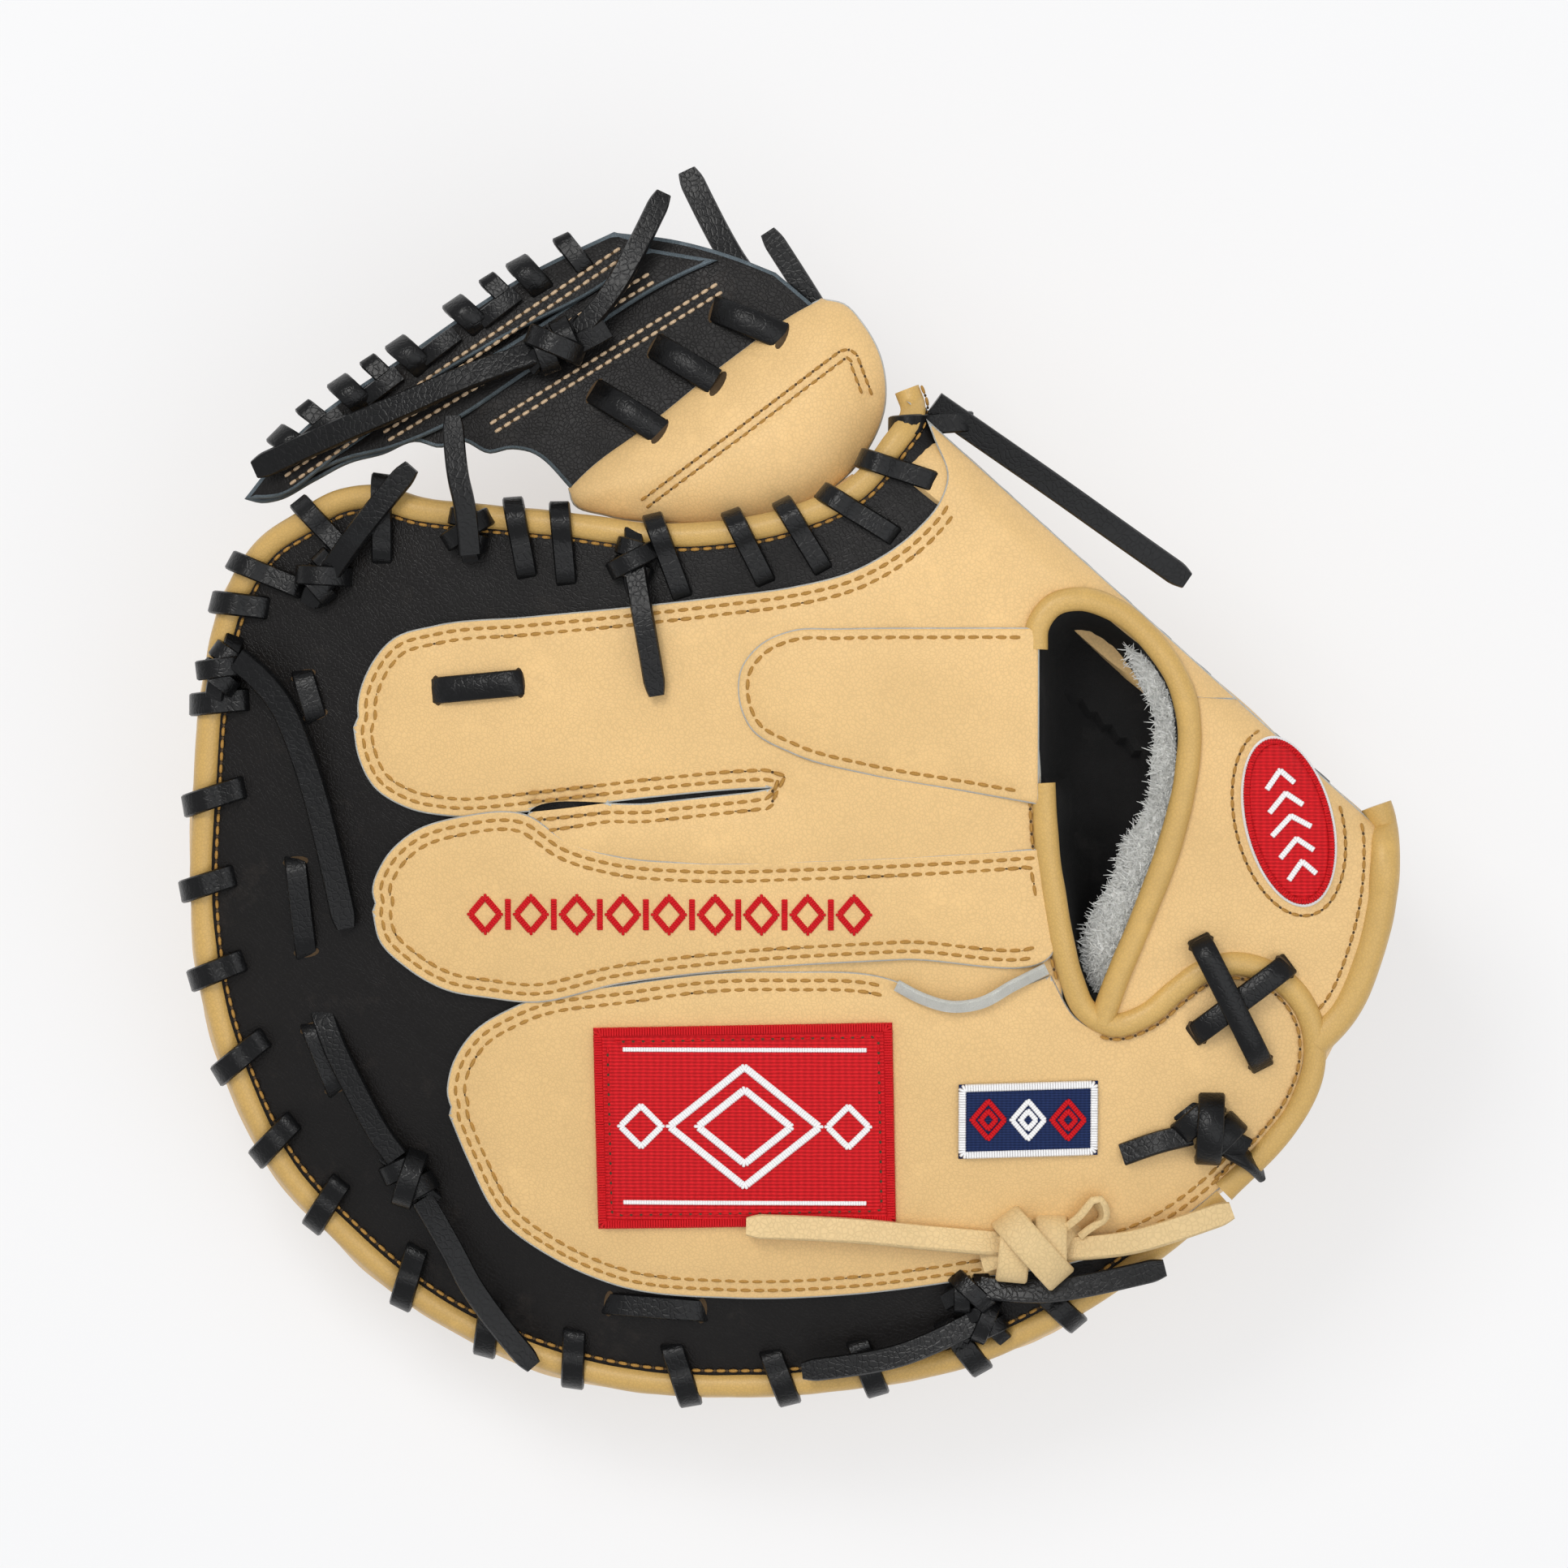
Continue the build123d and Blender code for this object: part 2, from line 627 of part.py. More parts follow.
# Knots: each a rounded lump that its tails come out of
KNOT_HEIGHT = 5
KNOTS = [
    ("rim_knot", (-137, 36), 12, 60, BINDING_PROUD + 3.6, BACK_CENTRE, BACK_RADIUS),
    ("lower_shell_knot", (-91, -88), 13, -55, GAP, BACK_CENTRE, BACK_RADIUS),
    ("web_side_knot", (-75.5, 66), 11, 85, BINDING_PROUD + 3.5, BACK_CENTRE, BACK_RADIUS),
    ("index_tip_knot", (-112, 57), 12, 60, GAP, BACK_CENTRE, BACK_RADIUS),
    ("notch_knot", (-36, 58), 11, 80, GAP, BACK_CENTRE, BACK_RADIUS),
    ("web_knot", (-55, 113), 13, 30, STRIP_TOP + GAP, WEB_CENTRE, WEB_RADIUS),
    ("heel_knot_upper", (44, -114), 10, 10, GAP, BACK_CENTRE, BACK_RADIUS),
    ("heel_knot_lower", (50, -120.5), 8, -60, GAP, BACK_CENTRE, BACK_RADIUS),
    ("wrist_knot", (103, -74), 16, -40, TAB_TOP, BACK_CENTRE, BACK_RADIUS),
    ("tan_knot", (60, -103.5), 20, 5, PAD_STACK, BACK_CENTRE, BACK_RADIUS),
]
for name, middle, length, angle, lift, centre, radius in KNOTS:
    with BuildPart() as knot:
        with BuildSketch() as lump:
            with Locations(Location((*middle, 0), (0, 0, angle))):
                RectangleRounded(length, length * 0.62, length * 0.28)
        raise_plan(lump.sketch)
        dome_layer(lift, lift + KNOT_HEIGHT, centre, radius)
    finish(knot.part, name)


# ---------------------------------------------------------------- free lace ends
def bend_radii(points):
    """The largest arc that each corner of a route has room for."""
    radii = []
    for before, here, after in zip(points, points[1:], points[2:]):
        half_turn = radians((here - before).get_angle(after - here) / 2)
        run = min((here - before).length, (after - here).length)
        radii.append(0.45 * run / tan(half_turn))
    return radii


def lace_end(name, points):
    """A free end of lace as a plain tube along its route."""
    points = [Vector(*point) for point in points]
    radii = bend_radii(points)
    with BuildPart() as tube:
        with BuildLine() as route:
            FilletPolyline(*points, radius=radii)
        path = route.wire()
        with BuildSketch(Plane(origin=path @ 0, z_dir=path % 0)):
            Circle(LACE_TUBE / 2)
        sweep(path=path)
    filled = tube.part.volume / (path.length * pi * LACE_TUBE**2 / 4)
    print(f"{name}: length {path.length:.1f}, least radius {min(radii):.1f}, filled {filled:.4f}")
    finish(tube.part, name)


def on_back(*points):
    """Places given in plan with their height off the back."""
    return [(x, y, back_z(x, y) + lift) for x, y, lift in points]


def on_web(*points):
    """Places given in plan with their height off the web."""
    return [(x, y, web_z(x, y) + lift) for x, y, lift in points]


lace_end(
    "rim_knot_tail",
    on_back((-132, 38, 7), (-123, 31.5, 6), (-116, 15, 4), (-110.5, -5, 3.2), (-106, -27, 2.8)),
)
lace_end("lower_shell_tail", on_back((-88, -93, 4), (-82, -103, 5), (-74, -119, 6.5), (-61, -134, 7.5)))
lace_end("web_side_tail", on_back((-75.5, 63, 7), (-76, 73, 9), (-79, 84, 8.5), (-79.5, 96, 7)))
lace_end("index_tip_tail", on_back((-114, 52, 3), (-108, 61, 5.5), (-99, 73, 7.5), (-89.5, 84, 6.5)))
lace_end("notch_tail", on_back((-36, 62, 4), (-34.5, 52, 7), (-32.5, 41, 7.5), (-30.5, 29, 6.5)))
lace_end(
    "web_long_tail",
    on_web((-58, 112, 6), (-74, 107, 8.6), (-92, 99, 8.8), (-110, 92, 9), (-128, 84, 9)),
)
lace_end("web_short_tail", on_web((-52, 114, 5.5), (-44, 122, 8), (-37, 133, 9.5), (-29, 150, 10)))
lace_end("web_corner_tail", on_web((4, 119, -5), (-7, 127, -5.5), (-15, 138, -4), (-23.5, 156, 0)))
lace_end("crotch_tail", on_web((14, 108, -5), (11, 117, -5.5), (4.5, 128, -4), (-4, 141, 0)))
lace_end("thumb_tail", [(36, 99, 101), (50.5, 89, 99), (66, 78.5, 93), (81, 68, 87), (97, 57, 80)])
lace_end("heel_upper_tail", on_back((47.5, -114, 4.5), (60, -115.5, 7), (76, -113, 7.5), (92, -109, 7.5)))
lace_end("heel_lower_tail", on_back((47, -122, 4), (34, -129, 7.5), (19, -133, 8.2), (4.5, -134.5, 8)))
lace_end("tan_left_tail", on_back((56, -103.5, 5), (37, -102, 7), (14, -99.5, 7.2), (-9, -99, 7)))
lace_end("tan_right_tail", on_back((66, -104.5, 5), (80, -104, 7.5), (94, -100, 8), (108, -95, 7)))
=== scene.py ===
"""Catcher's mitt: the leather, padding, lacing and trim, made round the fixed frame of the mitt."""

import math

import bmesh
import bpy
import numpy as np
from bpy.props import FloatProperty, FloatVectorProperty, PointerProperty
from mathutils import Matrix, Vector, geometry, noise


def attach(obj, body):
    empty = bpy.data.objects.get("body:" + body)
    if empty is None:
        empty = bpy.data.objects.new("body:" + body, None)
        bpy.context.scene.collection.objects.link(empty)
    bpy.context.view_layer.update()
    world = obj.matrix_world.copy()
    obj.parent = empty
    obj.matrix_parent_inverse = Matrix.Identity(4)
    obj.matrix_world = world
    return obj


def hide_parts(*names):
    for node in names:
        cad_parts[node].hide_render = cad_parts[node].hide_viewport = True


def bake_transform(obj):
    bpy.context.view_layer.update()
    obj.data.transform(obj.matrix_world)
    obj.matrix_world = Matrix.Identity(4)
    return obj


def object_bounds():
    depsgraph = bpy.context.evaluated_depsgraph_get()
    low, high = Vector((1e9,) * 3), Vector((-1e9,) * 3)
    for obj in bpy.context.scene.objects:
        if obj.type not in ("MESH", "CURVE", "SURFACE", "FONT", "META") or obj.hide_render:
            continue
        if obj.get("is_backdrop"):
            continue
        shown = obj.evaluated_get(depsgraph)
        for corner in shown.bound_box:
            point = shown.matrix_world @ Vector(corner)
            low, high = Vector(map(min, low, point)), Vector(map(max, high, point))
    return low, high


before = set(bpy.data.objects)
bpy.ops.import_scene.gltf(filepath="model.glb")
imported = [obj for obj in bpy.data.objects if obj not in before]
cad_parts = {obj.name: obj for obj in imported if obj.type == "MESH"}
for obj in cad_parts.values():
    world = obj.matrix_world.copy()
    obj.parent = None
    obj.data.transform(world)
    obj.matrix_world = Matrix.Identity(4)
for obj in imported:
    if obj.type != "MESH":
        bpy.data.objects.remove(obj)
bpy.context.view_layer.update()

bl_info = {
    "name": "Catcher's Mitt",
    "version": (1, 0, 0),
    "blender": (4, 5, 0),
    "location": "3D Viewport > Sidebar > Mitt",
    "description": "Makes the leather, lacing and trim of a catcher's mitt",
    "category": "Object",
}

# All places and sizes below are in millimetres; meshes are written in metres.
MM = 0.001

# Shells of the mitt: centre of each dome and its radius
BACK_CENTRE = (60.0, 80.0, -392.0)
BACK_RADIUS = 500.0
WEB_CENTRE = (10.0, 55.0, -206.0)
WEB_RADIUS = 300.0
PALM_CENTRE = (5.0, 0.0, -151.0)
PALM_RADIUS = 206.0
FLOOR_CENTRE = (40.0, 30.0, -362.0)
FLOOR_RADIUS = 430.0

# The thumb's ridge, and the fold inside it
RIDGE_START = np.array((7.0, 124.0))
ALONG = np.array((138.0, -124.0)) / math.hypot(138.0, 124.0)
OUTWARD = np.array((-ALONG[1], ALONG[0]))
FOLD_HEIGHT = 78.0
THUMB_FROM = 38.0
THUMB_TO = 190.0
ROLL_FROM = -13.0
ROLL_RADIUS = 11.0

LACE_WIDE = 6.2
LACE_THICK = 2.2

FINGER, THUMB, WEB = "finger_half", "thumb_half", "web"


# ------------------------------------------------------------------ places and heights
def dome(x, y, centre, radius):
    """Height of a dome over places in plan."""
    return centre[2] + np.sqrt(radius**2 - (x - centre[0]) ** 2 - (y - centre[1]) ** 2)


def back_z(x, y):
    return dome(x, y, BACK_CENTRE, BACK_RADIUS)


def web_z(x, y):
    return dome(x, y, WEB_CENTRE, WEB_RADIUS)


def out_from_ridge(x, y):
    """How far places lie outside the thumb's ridge."""
    return (x - RIDGE_START[0]) * OUTWARD[0] + (y - RIDGE_START[1]) * OUTWARD[1]


def hide_z(x, y):
    """Top of the hide on the back: the back dome, rolled down along the thumb's ridge."""
    past = np.clip(out_from_ridge(x, y) - ROLL_FROM, 0, ROLL_RADIUS * 0.97)
    return back_z(x, y) - (ROLL_RADIUS - np.sqrt(ROLL_RADIUS**2 - past**2))


def ridge(along, outward, z=None):
    """A place given along the ridge and outward from it."""
    place = RIDGE_START + ALONG * along + OUTWARD * outward
    return place if z is None else np.array((*place, z))


def ripples(places, size, seed=0.0):
    """Smooth noise from about -1 to 1 at each place."""
    return np.array([noise.noise(Vector((p[0] / size, p[1] / size, seed))) for p in places]) * 1.6


# ------------------------------------------------------------------ curves in plan
def evenly(line, step, closed=False):
    """The line again, with its places a step apart."""
    if closed:
        line = np.vstack([line, line[:1]])
    gone = np.concatenate([[0], np.cumsum(np.linalg.norm(np.diff(line, axis=0), axis=1))])
    count = max(3, int(round(gone[-1] / step)))
    at = np.linspace(0, gone[-1], count + 1)
    if closed:
        at = at[:-1]
    return np.stack([np.interp(at, gone, line[:, k]) for k in range(line.shape[1])], axis=1)


def curve(points, step=1.5, closed=False):
    """A smooth curve through places, in even steps."""
    p = np.array(points, float)
    if len(p) == 2:
        return evenly(p, step)
    p = np.vstack([p[-1:], p, p[:2]]) if closed else np.vstack([2 * p[0] - p[1], p, 2 * p[-1] - p[-2]])
    gap = np.linalg.norm(np.diff(p, axis=0), axis=1)[:, None]
    slope = np.diff(p, axis=0) / gap
    tangent = (slope[:-1] * gap[1:] + slope[1:] * gap[:-1]) / (gap[1:] + gap[:-1])
    t = np.linspace(0, 1, 20, endpoint=False)[:, None]
    parts = []
    for k in range(1, len(p) - 2):
        first, last, reach = p[k], p[k + 1], gap[k]
        bend = (2 * t**3 - 3 * t**2 + 1) * first + (3 * t**2 - 2 * t**3) * last
        parts.append(bend + reach * ((t**3 - 2 * t**2 + t) * tangent[k - 1] + (t**3 - t**2) * tangent[k]))
    if not closed:
        parts.append(p[-2:-1])
    return evenly(np.vstack(parts), step, closed)


def outline(*runs, step=1.4):
    """A closed outline of smooth runs; each run ends where the next one starts."""
    parts = []
    for run, following in zip(runs, runs[1:] + runs[:1]):
        parts.append(curve([*run, following[0]], step)[:-1])
    rim = np.vstack(parts)
    x, y = rim.T
    turned = np.sum(x * np.roll(y, -1) - np.roll(x, -1) * y)
    return rim if turned > 0 else rim[::-1].copy()


def outward_of(line, closed=True):
    """Unit directions to the right of a line in plan, outwards where it runs anticlockwise."""
    if closed:
        run = np.roll(line, -1, 0) - np.roll(line, 1, 0)
    else:
        run = np.gradient(line, axis=0)
    run = run[:, :2] / np.linalg.norm(run[:, :2], axis=1)[:, None]
    return np.stack([run[:, 1], -run[:, 0]], axis=1)


def distance(places, line, closed=True):
    """Distance in plan from each place to a line."""
    a = line if closed else line[:-1]
    run = (np.roll(line, -1, 0) - line) if closed else np.diff(line, axis=0)
    size = np.maximum((run**2).sum(1), 1e-9)
    nearest = []
    for block in np.array_split(places[:, :2], max(1, len(places) // 2000)):
        reach = block[:, None] - a[None]
        t = np.clip((reach * run).sum(2) / size, 0, 1)
        nearest.append(np.sqrt(((reach - t[..., None] * run) ** 2).sum(2).min(1)))
    return np.concatenate(nearest)


def inside(places, rim):
    """Which places lie inside a closed outline."""
    x, y = places[:, 0][:, None], places[:, 1][:, None]
    ax, ay = rim.T
    bx, by = np.roll(rim, -1, 0).T
    with np.errstate(divide="ignore", invalid="ignore"):
        crosses = ((ay > y) != (by > y)) & (x < ax + (y - ay) * (bx - ax) / (by - ay))
    return crosses.sum(1) % 2 == 1


def drawn_in(rim, inset, keep=0.96):
    """A closed outline moved inwards, without the places that this crowds together."""
    moved = rim - outward_of(rim) * inset
    return moved[(distance(moved, rim) > inset * keep) & inside(moved, rim)]


# ------------------------------------------------------------------ meshes
class Stock:
    """Faces gathered for one piece, each with the number of its material."""

    def __init__(self):
        self.places, self.faces, self.finishes = [], [], []
        self.count = 0

    def add(self, places, faces, finish=0):
        places = np.asarray(places, float)
        self.places.append(places)
        self.faces += [tuple(int(k) + self.count for k in face) for face in faces]
        self.finishes += list(finish) if hasattr(finish, "__len__") else [finish] * len(faces)
        self.count += len(places)

    def piece(self, name, materials, body, replaces=(), crease=50):
        """The gathered faces as one object; it rides on a body when given one, and stays unparented when
        given several.
        """
        mesh = bpy.data.meshes.new(name)
        mesh.from_pydata((np.vstack(self.places) * MM).tolist(), [], self.faces)
        for material in materials:
            mesh.materials.append(FINISH[material]())
        mesh.polygons.foreach_set("material_index", self.finishes)
        mesh.polygons.foreach_set("use_smooth", [True] * len(self.faces))
        mesh.set_sharp_from_angle(angle=math.radians(crease))
        shaped = bmesh.new()
        shaped.from_mesh(mesh)
        joined = [face for face in shaped.faces if any(len(edge.link_faces) == 2 for edge in face.edges)]
        bmesh.ops.recalc_face_normals(shaped, faces=joined)
        shaped.to_mesh(mesh)
        shaped.free()
        mesh.validate()
        mesh.update()
        made = bpy.data.objects.new(name, mesh)
        bpy.context.scene.collection.objects.link(made)
        if isinstance(body, tuple):
            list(body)
            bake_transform(made)
        else:
            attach(made, body)
        if replaces:
            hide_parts(*replaces)
        return made


ACROSS = (FINGER, THUMB)


def triangles(rim, holes, spacing, rings):
    """Places and triangles that fill an outline, closer together near its edge."""
    loops = [rim, *holes]
    fixed = [*loops]
    for ring in rings:
        inner = drawn_in(rim, ring)
        fixed.append(inner[::1 if ring < 2 else 2])
    low, high = rim.min(0), rim.max(0)
    rows = np.arange(low[1], high[1], spacing * 0.87)
    grid = [(x + (k % 2) * spacing / 2, y) for k, y in enumerate(rows)
            for x in np.arange(low[0], high[0], spacing)]
    grid = np.array(grid)
    grid = grid[inside(grid, rim)]
    grid = grid[distance(grid, rim) > (rings[-1] if rings else 0) + 0.55 * spacing]
    for hole in holes:
        grid = grid[~inside(grid, hole)]
        grid = grid[distance(grid, hole) > 0.6 * spacing]
    places = np.vstack([*fixed, grid])
    edges, start = [], 0
    for loop in loops:
        edges += [(start + k, start + (k + 1) % len(loop)) for k in range(len(loop))]
        start += len(loop)
    found = geometry.delaunay_2d_cdt([Vector(p) for p in places], edges, [], 0, 1e-5)
    places = np.array([tuple(p) for p in found[0]])
    faces = np.array(found[2])
    corners = places[faces]
    a, b = corners[:, 1] - corners[:, 0], corners[:, 2] - corners[:, 0]
    area = a[:, 0] * b[:, 1] - a[:, 1] * b[:, 0]
    faces[area < 0] = faces[area < 0][:, ::-1]
    middle = corners.mean(1)
    keep = inside(middle, rim) & (np.abs(area) > 1e-6)
    for hole in holes:
        keep &= ~inside(middle, hole)
    return places, faces[keep]


def border(faces):
    """The edges that only one triangle uses, in its direction."""
    edges = {(a, b) for face in faces.tolist() for a, b in zip(face, face[1:] + face[:1])}
    return [edge for edge in edges if (edge[1], edge[0]) not in edges]


def slab(faces, count):
    """Faces of a slab: its top, its underside count places later, and the walls between them."""
    walls = [(b, a, a + count, b + count) for a, b in border(faces)]
    return [*faces.tolist(), *(faces[:, ::-1] + count).tolist(), *walls]


def joined_rings(rows, count):
    """Faces between rings of places, each ring closed on itself."""
    return [(k * count + j, k * count + (j + 1) % count, (k + 1) * count + (j + 1) % count,
             (k + 1) * count + j)
            for k in range(rows - 1) for j in range(count)]


class Hide:
    """A piece of leather or cloth cut to an outline, with a shaped top and a raw edge."""

    def __init__(self, rim, top, thick, round_off=0.7, puff=0.0, spread=9.0, seams=(), ripple=0.25,
                 seed=0.0, lip=0.4):
        self.rim, self.base, self.thick = rim, top, thick
        self.round_off, self.puff, self.spread = round_off, puff, spread
        self.seams, self.ripple, self.seed, self.lip = seams, ripple, seed, lip

    def top(self, places, extra=None):
        """Height of the finished surface over places in plan."""
        d = distance(places, self.rim)
        z = self.base(places[:, 0], places[:, 1]) + self.puff * (1 - np.exp(-d / self.spread))
        edge = np.clip(self.round_off - d, 0, self.round_off)
        z -= self.round_off - np.sqrt(np.maximum(self.round_off**2 - edge**2, 0))
        for seam in self.seams:
            z -= 0.45 * np.exp(-(((d - seam) / 0.8) ** 2))
        inner = np.clip(d / 5, 0, 1)
        if self.ripple:
            z += inner * self.ripple * (ripples(places, 34, self.seed)
                                        + 0.35 * ripples(places, 11, self.seed + 5))
        return z if extra is None else z + extra(places)

    def cut(self, stock, finish=0, edge_finish=1, spacing=2.2, holes=(), extra=None):
        """Adds the piece to the stock, closed all round."""
        rings = (0.35, 0.8, 1.6, 2.8) if self.seams else (0.35, 0.9, 2.0)
        places, faces = triangles(self.rim, holes, spacing, rings)
        top = self.top(places, extra)
        low = self.base(places[:, 0], places[:, 1]) - self.thick
        low = np.minimum(low, top - 0.3)
        solid = np.vstack([np.column_stack([places, top]), np.column_stack([places, low])])
        all_faces = slab(faces, len(places))
        cut_edge = distance(places[faces].mean(1), self.rim) < self.lip
        looks = [edge_finish if cut_away else finish for cut_away in cut_edge]
        stock.add(solid, all_faces,
                  looks + [finish] * len(faces) + [edge_finish] * (len(all_faces) - 2 * len(faces)))


def ribbon(stock, path, side, wide=LACE_WIDE, thick=LACE_THICK, finish=0, taper=0.0):
    """A flat lace along a path; side is the way its width lies."""
    path = np.asarray(path, float)
    side = np.broadcast_to(np.asarray(side, float), path.shape)
    run = np.gradient(path, axis=0)
    run /= np.linalg.norm(run, axis=1)[:, None]
    side = side - (side * run).sum(1)[:, None] * run
    side /= np.linalg.norm(side, axis=1)[:, None]
    up = np.cross(side, run)
    w, t = wide / 2, thick / 2
    ring = [(-w, -t * 0.5), (-w * 0.86, -t), (0, -t * 1.0), (w * 0.86, -t), (w, -t * 0.5)]
    ring += [(w, t * 0.5), (w * 0.86, t), (0, t * 1.08), (-w * 0.86, t), (-w, t * 0.5)]
    m, n = len(ring), len(path)
    width = np.ones(n)
    if taper:
        width[-3:] = (0.95, 0.85, 0.85 - taper)
    places = np.concatenate([path + side * a * width[:, None] + up * b for a, b in ring]).reshape(m, n, 3)
    places = places.transpose(1, 0, 2).reshape(-1, 3)
    faces = []
    for k in range(n - 1):
        for j in range(m):
            after = (j + 1) % m
            faces.append((k * m + j, k * m + after, (k + 1) * m + after, (k + 1) * m + j))
    faces.append(tuple(range(m))[::-1])
    faces.append(tuple((n - 1) * m + j for j in range(m)))
    stock.add(places, faces, finish)


def arc_ribbon(stock, points, side, wide=LACE_WIDE, thick=LACE_THICK, finish=0, step=1.1):
    """A lace along a smooth curve through places in space."""
    ribbon(stock, curve(points, step), side, wide, thick, finish)


def roll(stock, line, height, section, closed=False, finish=0, swell=0.0, seed=0.0):
    """A section swept along a line in plan; the section is given outwards from the line and up."""
    out = outward_of(line, closed)
    z = height(line[:, 0], line[:, 1])
    section = np.array(section, float)
    n, m = len(line), len(section)
    grow = 1 + swell * ripples(line, 9, seed)
    places = np.empty((n, m, 3))
    for j, (a, b) in enumerate(section):
        places[:, j, :2] = line + out * (a * grow)[:, None]
        places[:, j, 2] = z + b * grow
    faces = []
    for k in range(n if closed else n - 1):
        after = (k + 1) % n
        for j in range(m):
            across = (j + 1) % m
            faces.append((k * m + j, after * m + j, after * m + across, k * m + across))
    if not closed:
        faces.append(tuple(range(m)))
        faces.append(tuple((n - 1) * m + j for j in range(m))[::-1])
    stock.add(places.reshape(-1, 3), faces, finish)


# One stitch along X: rings of a fat thread that dives into the leather at both ends
STITCH_RINGS = [(-0.5, 0.25, -0.5), (-0.42, 0.75, 0.1), (-0.15, 1.0, 0.42), (0.15, 1.0, 0.42),
                (0.42, 0.75, 0.1), (0.5, 0.25, -0.5)]
STITCH_SIDES = 6


def stitches(stock, line, height, pitch=3.3, long=2.6, thick=0.85, finish=0, hole_shade_finish=None):
    """A row of thread stitches along a line in plan, with dark discs of painted shade for the needle holes
    between them.
    """
    gone = np.concatenate([[0], np.cumsum(np.linalg.norm(np.diff(line, axis=0), axis=1))])
    at = np.arange(pitch * 0.5, gone[-1] - pitch * 0.3, pitch)
    if len(at) < 2:
        return

    def spot(s):
        return np.stack([np.interp(s, gone, line[:, k]) for k in range(2)], axis=1)

    ahead, behind = spot(at + long / 2), spot(at - long / 2)
    middle = np.column_stack([spot(at), height(spot(at))])
    run = np.column_stack([ahead - behind, height(ahead) - height(behind)])
    run /= np.linalg.norm(run, axis=1)[:, None]
    side = np.cross((0, 0, 1.0), run)
    up = np.cross(run, side)
    turn = np.linspace(0, 2 * math.pi, STITCH_SIDES, endpoint=False)
    shape = []
    for along, size, rise in STITCH_RINGS:
        shape += [(along * long, math.cos(t) * size * thick / 2, (math.sin(t) * size + rise) * thick / 2)
                  for t in turn]
    shape = np.array(shape)
    places = middle[:, None] + sum(axis[:, None] * shape[None, :, k, None]
                                   for k, axis in enumerate((run, side, up)))
    count, size = len(STITCH_RINGS), len(shape)
    faces = []
    for n in range(len(at)):
        base = n * size
        for k in range(count - 1):
            for j in range(STITCH_SIDES):
                a, b = base + k * STITCH_SIDES, (j + 1) % STITCH_SIDES
                faces.append((a + j, a + b, a + STITCH_SIDES + b, a + STITCH_SIDES + j))
        faces.append(tuple(base + j for j in range(STITCH_SIDES))[::-1])
        faces.append(tuple(base + size - STITCH_SIDES + j for j in range(STITCH_SIDES)))
    stock.add(places.reshape(-1, 3), faces, finish)
    if hole_shade_finish is None:
        return
    # Needle holes: flat dark ovals laid just over the leather, painted shade where the holes are
    between = (at[:-1] + at[1:]) / 2
    flat = spot(between)
    centre = np.column_stack([flat, height(flat) + 0.05])
    run, side = run[:-1], side[:-1]
    oval = np.array([(math.cos(t) * 0.42, math.sin(t) * 0.36) for t in turn])
    places = centre[:, None] + run[:, None] * oval[None, :, 0, None] + side[:, None] * oval[None, :, 1, None]
    discs = [tuple(n * STITCH_SIDES + j for j in range(STITCH_SIDES)) for n in range(len(flat))]
    stock.add(places.reshape(-1, 3), discs, hole_shade_finish)


def seam_rows(stock, hide, insets, part=None, finish=0, hole_shade_finish=1, **how):
    """Stitch rows inside a hide's edge; part says which places of the edge carry them."""
    for inset in insets:
        line = drawn_in(hide.rim, inset)
        if part is None:
            stitches(stock, np.vstack([line, line[:1]]), hide.top, finish=finish, hole_shade_finish=hole_shade_finish,
                     **how)
            continue
        wanted = part(line[:, 0], line[:, 1])
        if wanted.all():
            stitches(stock, line, hide.top, finish=finish, hole_shade_finish=hole_shade_finish, **how)
            continue
        start = int(np.argmin(wanted))
        line, wanted = np.roll(line, -start, 0), np.roll(wanted, -start)
        for group in np.split(np.arange(len(line)), np.flatnonzero(np.diff(wanted.astype(int))) + 1):
            if wanted[group[0]] and len(group) > 6:
                stitches(stock, line[group], hide.top, finish=finish, hole_shade_finish=hole_shade_finish, **how)


def satin(stock, line, height, wide, finish=0, pitch=0.62, closed=True, thick=0.8):
    """A raised line of embroidery: threads laid side by side across it."""
    line = evenly(line, pitch, closed)
    out = outward_of(line, closed)
    turn = np.linspace(0, 2 * math.pi, STITCH_SIDES, endpoint=False)
    shape = [(a * wide, b * math.cos(t) * pitch * 0.62, b * math.sin(t) * thick / 2 + c)
             for a, b, c in ((-0.5, 0.5, -0.3), (-0.36, 1, 0.2), (0.36, 1, 0.2), (0.5, 0.5, -0.3))
             for t in turn]
    shape = np.array(shape)
    run = np.stack([-out[:, 1], out[:, 0]], axis=1)
    flat = line[:, None] + out[:, None] * shape[None, :, :1] + run[:, None] * shape[None, :, 1:2]
    z = height(line)[:, None] + shape[None, :, 2]
    places = np.concatenate([flat, z[..., None]], axis=2)
    faces, size = [], len(shape)
    for n in range(len(line)):
        for k in range(3):
            for j in range(STITCH_SIDES):
                a, b = n * size + k * STITCH_SIDES, (j + 1) % STITCH_SIDES
                faces.append((a + j, a + b, a + STITCH_SIDES + b, a + STITCH_SIDES + j))
    stock.add(places.reshape(-1, 3), faces, finish)


# ------------------------------------------------------------------ materials
def node(tree, kind, inputs=None, **settings):
    """A shader node with its settings, its values and the sockets that feed it."""
    made = tree.nodes.new(kind)
    for name, value in settings.items():
        setattr(made, name, value)
    for name, value in (inputs or {}).items():
        if isinstance(value, bpy.types.NodeSocket):
            tree.links.new(value, made.inputs[name])
        else:
            made.inputs[name].default_value = value
    return made


